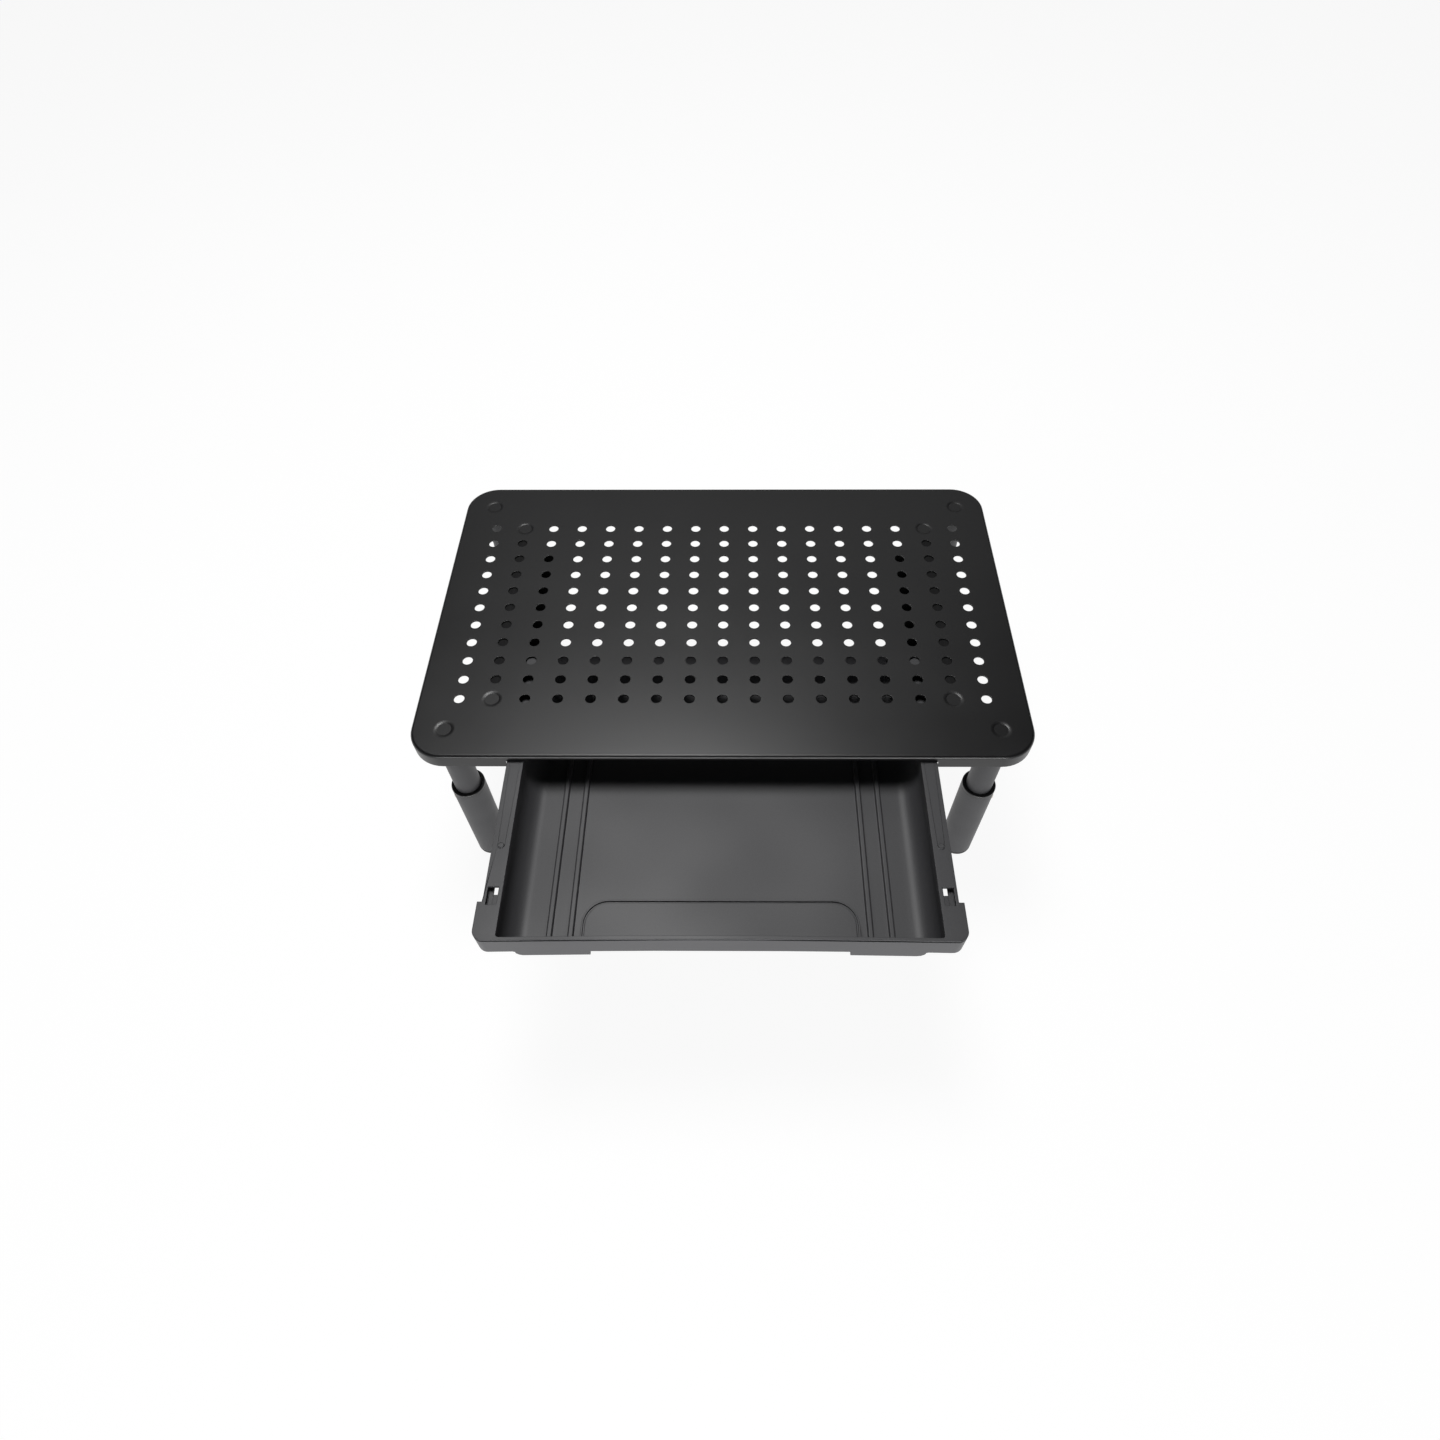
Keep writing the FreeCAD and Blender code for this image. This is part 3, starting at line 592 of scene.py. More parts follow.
def face_outwards(piece):
    """Turns every face of a closed shell outwards."""
    work = bmesh.new()
    work.from_mesh(piece.data)
    bmesh.ops.recalc_face_normals(work, faces=work.faces)
    work.to_mesh(piece.data)
    work.free()


def cut(piece, cutters):
    """Subtracts closed cutters from a piece and removes them."""
    for cutter in cutters:
        tool = piece.modifiers.new("cut", "BOOLEAN")
        tool.operation = "DIFFERENCE"
        tool.solver = "EXACT"
        tool.object = cutter
    apply_modifiers(piece)
    for cutter in cutters:
        bpy.data.objects.remove(cutter)


def round_edges(piece, radius, steps=2, sharper_than=35, leave=lambda point: False):
    """Rounds the edges that are sharper than an angle, but not where leave() says so of an edge's middle."""
    work = bmesh.new()
    work.from_mesh(piece.data)
    weight = work.edges.layers.float.new("bevel_weight_edge")
    for edge in work.edges:
        sharp = edge.is_manifold and edge.calc_face_angle() > math.radians(sharper_than)
        if sharp and not leave((edge.verts[0].co + edge.verts[1].co) / 2):
            edge[weight] = 1
    work.to_mesh(piece.data)
    work.free()
    edges = piece.modifiers.new("edges", "BEVEL")
    edges.width = radius
    edges.segments = steps
    edges.limit_method = "WEIGHT"
    edges.miter_outer = "MITER_ARC"
    edges.use_clamp_overlap = False
    apply_modifiers(piece)
    piece.data.attributes.remove(piece.data.attributes["bevel_weight_edge"])


def smooth(piece, sharper_than=50):
    """Smooth shading that keeps flats flat and leaves sharp edges sharp."""
    piece.data.shade_smooth()
    piece.data.set_sharp_from_angle(angle=math.radians(sharper_than))
    weigh = piece.modifiers.new("normals", "WEIGHTED_NORMAL")
    weigh.keep_sharp = True
    weigh.weight = 80
    apply_modifiers(piece)


def hand_over(piece, slot_name, body, *nodes):
    """Gives a finished piece its material and its body, and hides the CAD nodes that it stands for."""
    piece.data.materials.clear()
    piece.data.materials.append(finish(slot_name))
    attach(piece, body)
    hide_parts(*nodes)


# --- Geometry node trees ---

def new_tree(name, sizes):
    """A geometry tree with named inputs; sizes maps each name to its socket type."""
    tree = bpy.data.node_groups.new(name, "GeometryNodeTree")
    tree.is_modifier = True
    tree.interface.new_socket("Geometry", in_out="INPUT", socket_type="NodeSocketGeometry")
    for size, kind in sizes.items():
        tree.interface.new_socket(size, in_out="INPUT", socket_type=kind)
    tree.interface.new_socket("Geometry", in_out="OUTPUT", socket_type="NodeSocketGeometry")
    return tree


def run_tree(piece, tree, values):
    """Runs a tree on a piece with its inputs set by identifier, and keeps the result as a plain mesh."""
    step = piece.modifiers.new(tree.name, "NODES")
    step.node_group = tree
    for item in tree.interface.items_tree:
        if item.in_out == "INPUT" and item.name in values:
            step[item.identifier] = values[item.name]
    apply_modifiers(piece)


def grid_points(tree, sizes):
    """Points on the tree's own grid, centred on its Centre input."""
    spans = []
    for count, pitch in (("Columns", "Pitch across"), ("Rows", "Pitch along")):
        gaps = add(tree, "ShaderNodeMath", {0: sizes.outputs[count], 1: 1.0}, operation="SUBTRACT")
        spans.append(add(tree, "ShaderNodeMath", {0: gaps.outputs[0], 1: sizes.outputs[pitch]},
                         operation="MULTIPLY").outputs[0])
    grid = add(tree, "GeometryNodeMeshGrid", {"Size X": spans[0], "Size Y": spans[1],
                                              "Vertices X": sizes.outputs["Columns"],
                                              "Vertices Y": sizes.outputs["Rows"]})
    return grid.outputs["Mesh"]


def perforation_tree():
    """Joins a plate's rim to a grid of punched tiles, with dimpled tiles where the studs are."""
    tree = new_tree("perforation", {
        "Punched tile": "NodeSocketObject", "Dimpled tile": "NodeSocketObject",
        "Columns": "NodeSocketInt", "Rows": "NodeSocketInt", "Pitch across": "NodeSocketFloat",
        "Pitch along": "NodeSocketFloat", "Stud across": "NodeSocketFloat",
        "Stud along": "NodeSocketFloat", "Centre": "NodeSocketVector", "Weld": "NodeSocketFloat",
        "Material": "NodeSocketMaterial"})
    sizes = add(tree, "NodeGroupInput")
    points = grid_points(tree, sizes)
    place = add(tree, "ShaderNodeSeparateXYZ", {0: add(tree, "GeometryNodeInputPosition").outputs[0]})
    tests = []
    same_place = 0.1 * MM
    for axis, stud in (("X", "Stud across"), ("Y", "Stud along")):
        away = add(tree, "ShaderNodeMath", {0: place.outputs[axis]}, operation="ABSOLUTE")
        tests.append(add(tree, "ShaderNodeMath", {0: away.outputs[0], 1: sizes.outputs[stud], 2: same_place},
                         operation="COMPARE").outputs[0])
    over_stud = add(tree, "FunctionNodeBooleanMath", {0: tests[0], 1: tests[1]}, operation="AND")
    clear = add(tree, "FunctionNodeBooleanMath", {0: over_stud.outputs[0]}, operation="NOT")
    tiles = []
    for kind, where in (("Punched tile", clear), ("Dimpled tile", over_stud)):
        tile = add(tree, "GeometryNodeObjectInfo", {"Object": sizes.outputs[kind]})
        tiles.append(add(tree, "GeometryNodeInstanceOnPoints",
                         {"Points": points, "Selection": where.outputs[0],
                          "Instance": tile.outputs["Geometry"]}).outputs[0])
    field = add(tree, "GeometryNodeJoinGeometry")
    for tile in tiles:
        tree.links.new(tile, field.inputs[0])
    placed = add(tree, "GeometryNodeTransform", {"Geometry": field.outputs[0],
                                                 "Translation": sizes.outputs["Centre"]})
    joined = add(tree, "GeometryNodeJoinGeometry", {0: placed.outputs[0]})
    tree.links.new(sizes.outputs["Geometry"], joined.inputs[0])
    real = add(tree, "GeometryNodeRealizeInstances", {0: joined.outputs[0]})
    welded = add(tree, "GeometryNodeMergeByDistance", {"Geometry": real.outputs[0],
                                                       "Distance": sizes.outputs["Weld"]})
    coated = add(tree, "GeometryNodeSetMaterial", {"Geometry": welded.outputs[0],
                                                   "Material": sizes.outputs["Material"]})
    add(tree, "NodeGroupOutput", {0: coated.outputs[0]})
    return tree


def fastener_tree():
    """Sets the same fastener at every point of a grid."""
    tree = new_tree("fasteners", {
        "Columns": "NodeSocketInt", "Rows": "NodeSocketInt", "Pitch across": "NodeSocketFloat",
        "Pitch along": "NodeSocketFloat", "Centre": "NodeSocketVector", "Material": "NodeSocketMaterial"})
    sizes = add(tree, "NodeGroupInput")
    seats = add(tree, "GeometryNodeInstanceOnPoints", {"Points": grid_points(tree, sizes),
                                                       "Instance": sizes.outputs["Geometry"]})
    placed = add(tree, "GeometryNodeTransform", {"Geometry": seats.outputs[0],
                                                 "Translation": sizes.outputs["Centre"]})
    real = add(tree, "GeometryNodeRealizeInstances", {0: placed.outputs[0]})
    plated = add(tree, "GeometryNodeSetMaterial", {"Geometry": real.outputs[0],
                                                   "Material": sizes.outputs["Material"]})
    add(tree, "NodeGroupOutput", {0: plated.outputs[0]})
    return tree


# --- Shelf ---

def rounded_plan(inset, height, sizes, steps=12):
    """The shelf's outline in plan, moved inwards, at a height."""
    half_x = SHELF_HIGH.x - inset
    half_y = (SHELF_HIGH.y - SHELF_LOW.y) / 2 - inset
    radius = sizes.corner - inset
    corners = [(half_x, half_y, radius), (-half_x, half_y, radius),
               (-half_x, -half_y, radius), (half_x, -half_y, radius)]
    return [Vector((p.x, p.y + SHELF_MIDDLE.y, height)) for p in softened(corners, steps)]


def field_border(height, sizes):
    """The outline of the perforated field, with a point at each tile's corner."""
    half_x = sizes.columns * sizes.pitch_x / 2
    half_y = sizes.rows * sizes.pitch_y / 2
    across = [-half_x + k * sizes.pitch_x for k in range(sizes.columns)]
    along = [-half_y + k * sizes.pitch_y for k in range(sizes.rows)]
    path = [(x, -half_y) for x in across] + [(half_x, y) for y in along]
    path += [(-x, half_y) for x in across] + [(-half_x, -y) for y in along]
    return [Vector((x, y + SHELF_MIDDLE.y, height)) for x, y in path]


def dimple_rings(sizes):
    """Radius and depth of each ring of a dimple, which sinks ever more steeply down to its floor's edge."""
    soft = 0.35 * MM
    rim = sizes.dimple + soft
    slope_depth = 0.8 * sizes.dimple_depth
    steps = 6
    slope = [(rim + (sizes.dimple_floor - rim) * k / steps, -slope_depth * (k / steps) ** 2)
             for k in range(steps + 1)]
    return slope + [(sizes.dimple_floor - soft / 2, -sizes.dimple_depth)]


def sink_dimple(work, centre, sizes, turns):
    """Adds a dimple's rings and floor, and returns its rim ring."""
    rings = [[work.verts.new(p + centre) for p in circle(radius, depth, turns)]
             for radius, depth in dimple_rings(sizes)]
    skin_rings(work, rings, closed=False)
    work.faces.new(rings[-1])
    return rings[0]


def joined_loop(work, ring):
    """The edges round a ring of vertices, made where they aren't there."""
    pairs = zip(ring, ring[1:] + ring[:1])
    return [work.edges.get(pair) or work.edges.new(pair) for pair in pairs]


def shelf_rim(sizes):
    """The folded skirt and the plain margin around the perforated field, open at the field."""
    work = bmesh.new()
    top = SHELF_HIGH.z
    under = top - sizes.sheet
    foot = SHELF_LOW.z
    fold_steps = 6
    outer = [(inset, top - drop) for inset, drop in edge_arc(sizes.fold, fold_steps)]
    inner = [(sizes.sheet + inset, under - drop)
             for inset, drop in edge_arc(sizes.fold - sizes.sheet, fold_steps)]
    section = outer + [(0, foot), (sizes.sheet, foot)] + inner[::-1]
    rings = [[work.verts.new(p) for p in rounded_plan(inset, height, sizes)] for inset, height in section]
    skin_rings(work, rings, closed=False)
    dimples = [sink_dimple(work, leg_centre(leg) + Vector((0, 0, top)), sizes, turns=48) for leg in LEGS]
    for ring, height, holes in ((rings[0], top, dimples), (rings[-1], under, [])):
        border = [work.verts.new(p) for p in field_border(height, sizes)]
        edges = []
        for loop in [ring, border] + holes:
            edges += joined_loop(work, loop)
        bmesh.ops.triangle_fill(work, edges=edges, use_beauty=True, normal=(0, 0, 1))
    bmesh.ops.recalc_face_normals(work, faces=work.faces)
    return work


def tile(sizes, rings, turns=32):
    """One pitch of the sheet around a hole or a dimple, whose rings run from the upper face down."""
    work = bmesh.new()
    half_x = sizes.pitch_x / 2
    half_y = sizes.pitch_y / 2
    corners = [(half_x, half_y), (-half_x, half_y), (-half_x, -half_y), (half_x, -half_y)]
    loops = [[work.verts.new(p) for p in circle(radius, depth, turns)] for radius, depth in rings]
    skin_rings(work, loops, closed=False)
    reached = [round(turns * (math.atan2(y, x) % math.tau) / math.tau) for x, y in corners]
    faces = [(loops[0], 0)]
    if rings[-1][1] <= -sizes.sheet:
        faces.append((loops[-1], -sizes.sheet))
    else:
        work.faces.new(loops[-1])
        work.faces.new([work.verts.new((x, y, -sizes.sheet)) for x, y in corners])
    for ring, height in faces:
        posts = [work.verts.new((x, y, height)) for x, y in corners]
        for i in range(len(corners)):
            j = (i + 1) % len(corners)
            steps = (reached[j] - reached[i]) % turns
            arc = [ring[(reached[i] + k) % turns] for k in range(steps + 1)]
            work.faces.new([posts[i]] + arc + [posts[j]])
    for face in work.faces:
        face.normal_update()
    bmesh.ops.recalc_face_normals(work, faces=work.faces)
    return work


def punched_rings(sizes):
    """The rings of a punched hole: a rolled upper edge, a straight wall and a small burr-free lower edge."""
    upper = [(sizes.hole + inset, -drop) for inset, drop in edge_arc(sizes.hole_roll, 4)]
    lower = sizes.hole_roll / 2
    halfway = 0.3 * lower
    return upper + [(sizes.hole, -sizes.sheet + lower), (sizes.hole + halfway, -sizes.sheet + halfway),
                    (sizes.hole + lower, -sizes.sheet)]


def bay_cutter(sizes):
    """The block that opens the front skirt for the drawer."""
    top = SHELF_HIGH.z - sizes.lip
    below = SHELF_LOW.z - CUTTING_SLACK
    outline = softened([(sizes.bay, below, 0), (sizes.bay, top, sizes.bay_corner),
                        (-sizes.bay, top, sizes.bay_corner), (-sizes.bay, below, 0)], steps=6)
    work = extruded(outline, 2 * (sizes.sheet + sizes.fold))
    bmesh.ops.translate(work, verts=work.verts, vec=(0, SHELF_LOW.y, 0))
    return new_piece("bay_cutter", work)


class RISER_OT_shelf(bpy.types.Operator):
    """Build the perforated and folded shelf"""
    bl_idname = "riser.shelf"
    bl_label = "Shelf"

    def execute(self, context):
        sizes = context.scene.riser_shelf
        shelf = new_piece("shelf_sheet", shelf_rim(sizes))
        tiles = [new_piece("punched_tile", tile(sizes, punched_rings(sizes))),
                 new_piece("dimpled_tile", tile(sizes, dimple_rings(sizes)))]
        stud = middle("rail_weld_studs")
        reach = (RAIL_STUD_HIGH - RAIL_STUD_LOW) / 2
        stud_radius = context.scene.riser_fasteners.rail_stud
        run_tree(shelf, perforation_tree(), {
            "Punched tile": tiles[0], "Dimpled tile": tiles[1], "Columns": sizes.columns,
            "Rows": sizes.rows, "Pitch across": sizes.pitch_x, "Pitch along": sizes.pitch_y,
            "Stud across": reach.x - stud_radius, "Stud along": reach.y - stud_radius,
            "Centre": (stud.x, stud.y, SHELF_HIGH.z), "Weld": 0.01 * MM,
            "Material": finish("powder_coated_steel")})
        for spare in tiles:
            bpy.data.objects.remove(spare)
        face_outwards(shelf)
        cut(shelf, [bay_cutter(sizes)])
        round_edges(shelf, context.scene.riser_edges.coated)
        smooth(shelf)
        hand_over(shelf, "powder_coated_steel", "root", "top_panel")
        return {"FINISHED"}


# --- Fasteners ---

def threaded(radius, low, high, pitch, turns=24, steps=6):
    """A threaded rod about Z, its crests at the radius and its ends run out to the root."""
    work = bmesh.new()
    depth = 0.55 * pitch
    rows = round((high - low) / pitch * steps)
    rings = []
    for row in range(rows + 1):
        height = low + (high - low) * row / rows
        fade = min(1, row / steps, (rows - row) / steps)
        ring = []
        for k in range(turns):
            phase = (height / pitch - k / turns) % 1
            crest = 1 - abs(2 * phase - 1)
            r = radius - depth * (1 - crest * fade)
            angle = math.tau * k / turns
            ring.append(work.verts.new((r * math.cos(angle), r * math.sin(angle), height)))
        rings.append(ring)
    skin_solid(work, rings)
    return work


def added(work, other):
    """Adds another piece of mesh work to the first."""
    mesh = bpy.data.meshes.new("spare")
    other.to_mesh(mesh)
    other.free()
    work.from_mesh(mesh)
    bpy.data.meshes.remove(mesh)
    return work


def flange_nut(sizes):
    """A hexagon nut, chamfered at its lower end, with a dished flange against the rail."""
    low = NUT_LOW.z
    high = NUT_HIGH.z
    corner = sizes.nut_flats / math.sqrt(3)
    bore = sizes.rail_stud + FIT
    face = 0.88 * corner
    past_corner = 1.05 * corner
    chamfer = 0.95 * MM
    body = lathe([Vector(p) for p in ((bore, low + LEAD), (bore + LEAD, low), (face, low),
                                      (past_corner, low + chamfer), (past_corner, high - LEAD),
                                      (bore, high - LEAD))], turns=96)
    prism = bmesh.new()
    skin_solid(prism, [[prism.verts.new(p) for p in circle(corner, height, 6)]
                       for height in (low - MM, high - LEAD / 2)])
    nut = new_piece("flange_nut", body)
    hexagon = new_piece("hexagon", prism)
    keep = nut.modifiers.new("hexagon", "BOOLEAN")
    keep.operation = "INTERSECT"
    keep.solver = "EXACT"
    keep.object = hexagon
    apply_modifiers(nut)
    bpy.data.objects.remove(hexagon)
    work = bmesh.new()
    work.from_mesh(nut.data)
    bpy.data.objects.remove(nut)
    outer = (NUT_HIGH.x - NUT_LOW.x - (RAIL_STUD_HIGH.x - RAIL_STUD_LOW.x)) / 2 + sizes.rail_stud
    flange = lathe(softened([(bore, high, 0), (bore, high - sizes.nut_flange, 0),
                             (outer, high - 0.7 * sizes.nut_flange, 0.3 * MM),
                             (outer, high, 0.15 * MM)], steps=3), turns=64)
    return added(work, flange)


class RISER_OT_fasteners(bpy.types.Operator):
    """Build the weld studs and the flange nuts"""
    bl_idname = "riser.fasteners"
    bl_label = "Studs and nuts"

    def execute(self, context):
        sizes = context.scene.riser_fasteners
        tree = fastener_tree()
        leg_rod = threaded(sizes.leg_stud, LEG_STUD_LOW.z, LEG_STUD_HIGH.z - sizes.head, sizes.leg_pitch)
        head_radius = LEG_STUD_HIGH.x - LEG_MIDDLE.x
        head_low = LEG_STUD_HIGH.z - sizes.head
        head = lathe(softened([(0, head_low, 0), (head_radius, head_low, 0.2 * MM),
                               (head_radius, LEG_STUD_HIGH.z, 0.1 * MM), (0, LEG_STUD_HIGH.z, 0)], steps=3))
        rail_rod = threaded(sizes.rail_stud, RAIL_STUD_LOW.z, RAIL_STUD_HIGH.z, sizes.rail_pitch)
        nut_reach = (NUT_HIGH.x - NUT_LOW.x) / 2 - (RAIL_STUD_HIGH.x - sizes.rail_stud)
        for name, work, radius, node in (
                ("leg_stud_set", added(leg_rod, head), head_radius, "leg_weld_studs"),
                ("rail_stud_set", rail_rod, sizes.rail_stud, "rail_weld_studs"),
                ("flange_nut_set", flange_nut(sizes), nut_reach, "rail_flange_nuts")):
            low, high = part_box(node)
            piece = new_piece(name, work)
            run_tree(piece, tree, {
                "Columns": 2, "Rows": 2, "Pitch across": high.x - low.x - 2 * radius,
                "Pitch along": high.y - low.y - 2 * radius,
                "Centre": ((low.x + high.x) / 2, (low.y + high.y) / 2, 0.0),
                "Material": finish("zinc_plated_steel")})
            smooth(piece, sharper_than=40)
            hand_over(piece, "zinc_plated_steel", "root", node)
        return {"FINISHED"}


# --- Rails ---

def rail_fold_edges(work):
    """The long edges at the outside of the rail's two folds, one at each end of its web."""
    web_from_side = 8 * MM
    web_reach = 1.5 * MM
    shortest = 50 * MM
    found = []
    for edge in work.edges:
        one, other = (vert.co for vert in edge.verts)
        length = edge.calc_length()
        straight = abs((one - other).y) > 0.99 * length and length > shortest
        outside = edge.is_convex and edge.is_manifold and edge.calc_face_angle() > math.radians(60)
        at_web = abs(abs(one.x) - (RAIL_LOW.x + web_from_side)) < web_reach
        if straight and outside and at_web:
            found.append(edge)
    return found


class RISER_OT_rails(bpy.types.Operator):
    """Build the two folded drawer rails"""
    bl_idname = "riser.rails"
    bl_label = "Drawer rails"

    def execute(self, context):
        edges = context.scene.riser_edges
        for side in ("left", "right"):
            node = f"drawer_rail_{side}"
            work = merged_copy(node)
            bmesh.ops.bevel(work, geom=rail_fold_edges(work), offset=edges.fold, offset_type="OFFSET",
                            segments=5, profile=0.5, affect="EDGES", clamp_overlap=True)
            rail = new_piece(f"{side}_rail_strip", work)
            round_edges(rail, edges.coated / 2)
            smooth(rail)
            hand_over(rail, "painted_rail_steel", "root", node)
        return {"FINISHED"}


# --- Drawer ---

def in_skid_root(point):
    """True where a skid grows out of the tray's rounded bottom; that blend is already soft."""
    inner_side = 98 * MM
    blend_height = 5.1 * MM
    blend_start, blend_end = 1.3 * MM, 10 * MM
    behind = point.y - DRAWER_LOW.y
    above = point.z - DRAWER_LOW.z
    return abs(point.x) > inner_side and above < blend_height and blend_start < behind < blend_end


def draw_in_strays(piece, shape, radius):
    """Brings back onto the shape any point that rounding threw further off it than a corner needs."""
    rounded_corner = 0.8 * radius
    for point in piece.data.vertices:
        place, _, _, off = shape.find_nearest(point.co)
        if off > rounded_corner:
            point.co = place


class RISER_OT_drawer(bpy.types.Operator):
    """Build the moulded drawer"""
    bl_idname = "riser.drawer"
    bl_label = "Drawer"

    def execute(self, context):
        work = merged_copy("drawer_tray")
        bmesh.ops.triangulate(work, faces=[face for face in work.faces if len(face.verts) > 4])
        moulding = BVHTree.FromBMesh(work)
        drawer = new_piece("drawer_moulding", work)
        round_edges(drawer, context.scene.riser_edges.moulded, steps=3, leave=in_skid_root)
        draw_in_strays(drawer, moulding, context.scene.riser_edges.moulded)
        smooth(drawer)
        hand_over(drawer, "moulded_drawer_plastic", "drawer", "drawer_tray")
        return {"FINISHED"}


# --- Legs, made about Z with +X outwards ---

def at_leg(work, leg):
    """Moves a piece to its leg, turned so that its outward side faces away from the stand."""
    centre = leg_centre(leg)
    if centre.x < 0:
        bmesh.ops.rotate(work, verts=work.verts, matrix=Matrix.Rotation(math.pi, 3, "Z"))
    bmesh.ops.translate(work, verts=work.verts, vec=centre)
    return work


def cross_cutters(radius, heights, reach, leg):
    """Short rods along X, from the leg's axis outwards, that cut round holes in a tube."""
    tools = []
    for height in heights:
        work = laid_along_x(lathe([Vector(p) for p in ((0, 0), (radius, 0), (radius, reach), (0, reach))],
                                  turns=40))
        bmesh.ops.translate(work, verts=work.verts, vec=(0, 0, height))
        tools.append(new_piece("hole_cutter", at_leg(work, leg)))
    return tools


def tube_piece(name, leg, outer, wall, low, high, hole, heights):
    """A tube with rounded ends and a row of round holes in its outward side."""
    end = wall / 4
    outline = softened([(outer, low, end), (outer, high, end), (outer - wall, high, end),
                        (outer - wall, low, end)], steps=3)
    piece = new_piece(name, at_leg(lathe(outline, turns=72), leg))
    cut(piece, cross_cutters(hole, heights, 1.5 * outer, leg))
    return piece


class RISER_OT_leg_tubes(bpy.types.Operator):
    """Build the inner tubes and the outer sleeves of the legs"""
    bl_idname = "riser.leg_tubes"
    bl_label = "Leg tubes"

    def execute(self, context):
        sizes = context.scene.riser_legs
        edge = context.scene.riser_edges.coated
        button = middle("front_right_snap_button").z
        levels = [button - k * sizes.height_step for k in range(sizes.levels)]
        for leg in LEGS:
            for name, node, body, low, high, hole, heights in (
                    ("inner_tube", "upper_tube", "root", TUBE_LOW, TUBE_HIGH, sizes.button_hole, [button]),
                    ("outer_sleeve", "lower_sleeve", f"{leg}_lower_leg", SLEEVE_LOW, SLEEVE_HIGH,
                     sizes.lock_hole, levels)):
                piece = tube_piece(f"{leg}_{name}", leg, high.x - LEG_MIDDLE.x, sizes.wall, low.z, high.z,
                                   hole, heights)
                round_edges(piece, edge, sharper_than=40)
                smooth(piece, sharper_than=60)
                hand_over(piece, "powder_coated_tube", body, f"{leg}_{node}")
        return {"FINISHED"}


def collar_outline(sizes):
    """The bush's section: a flange on the sleeve's end and a body inside it, with a flared mouth."""
    outer = COLLAR_HIGH.x - LEG_MIDDLE.x
    body = outer - sizes.wall - FIT
    bore = TUBE_HIGH.x - LEG_MIDDLE.x + FIT
    seat = SLEEVE_HIGH.z
    return softened([(bore, COLLAR_LOW.z, 0.2 * MM), (body, COLLAR_LOW.z, 0.4 * MM), (body, seat, 0),
                     (outer, seat, 0.15 * MM), (outer, COLLAR_HIGH.z, 0.7 * MM),
                     (bore, COLLAR_HIGH.z, 0.5 * MM)], steps=5)


def foot_outline(sizes):
    """The rubber cap's section: a rounded rim, a sole with a ring groove and a hollow plug."""
    outer = FOOT_HIGH.x - LEG_MIDDLE.x
    plug = outer - sizes.wall - FIT
    plug_wall = 2.5 * MM
    hollow = plug - plug_wall
    rim = SLEEVE_LOW.z
    groove = 0.6 * MM
    groove_in, groove_out = 4.2 * MM, 5.4 * MM
    return softened([(0, 0, 0), (groove_in, 0, 0.2 * MM), (groove_in, groove, 0.2 * MM),
                     (groove_out, groove, 0.2 * MM), (groove_out, 0, 0.2 * MM),
                     (outer, 0, sizes.foot_round), (outer, rim, 0.3 * MM), (plug, rim, 0.1 * MM),
                     (plug, FOOT_HIGH.z, 0.6 * MM), (hollow, FOOT_HIGH.z, 0.3 * MM), (hollow, rim, 0.6 * MM),
                     (0, rim, 0)], steps=5)


def plug_outline(stud):
    """The threaded insert's section, chamfered at both ends and grooved for a press fit."""
    outer = PLUG_HIGH.x - LEG_MIDDLE.x
    bore = stud + FIT
    low = PLUG_LOW.z
    high = PLUG_HIGH.z
    waist_low = low + 0.4 * (high - low)
    waist_high = low + 0.6 * (high - low)
    waist = outer - 0.6 * MM
    return [Vector(p) for p in (
        (bore, low + LEAD), (bore + LEAD, low), (outer - LEAD, low), (outer, low + LEAD),
        (outer, waist_low), (waist, waist_low + LEAD), (waist, waist_high - LEAD), (outer, waist_high),
        (outer, high - LEAD), (outer - LEAD, high), (bore + LEAD, high), (bore, high - LEAD))]


class RISER_OT_leg_fittings(bpy.types.Operator):
    """Build the guide collars, the rubber feet and the threaded plugs of the legs"""
    bl_idname = "riser.leg_fittings"
    bl_label = "Collars, feet and plugs"

    def execute(self, context):
        sizes = context.scene.riser_legs
        stud = context.scene.riser_fasteners.leg_stud
        for leg in LEGS:
            for name, outline, node, slot_name, body in (
                    ("guide_bush", collar_outline(sizes), "guide_collar", "black_nylon", f"{leg}_lower_leg"),
                    ("rubber_cap", foot_outline(sizes), "foot", "black_rubber", f"{leg}_lower_leg"),
                    ("threaded_insert", plug_outline(stud), "tube_plug", "zinc_plated_steel", "root")):
                piece = new_piece(f"{leg}_{name}", at_leg(lathe(outline, turns=72), leg))
                smooth(piece)
                hand_over(piece, slot_name, body, f"{leg}_{node}")
        return {"FINISHED"}


def button_outline(sizes):
    """The snap button's section along its own axis, from its flange to its domed tip."""
    back = BUTTON_LOW.x - LEG_MIDDLE.x
    tip = BUTTON_HIGH.x - LEG_MIDDLE.x
    flange_radius = (BUTTON_HIGH.z - BUTTON_LOW.z) / 2
    flange = 1 * MM
    dome = 1.6 * MM
    return softened([(0, back, 0), (flange_radius, back, 0.2 * MM),
                     (flange_radius, back + flange, 0.2 * MM), (sizes.button, back + flange, 0.15 * MM),
                     (sizes.button, tip, dome), (0, tip, 0)], steps=8)


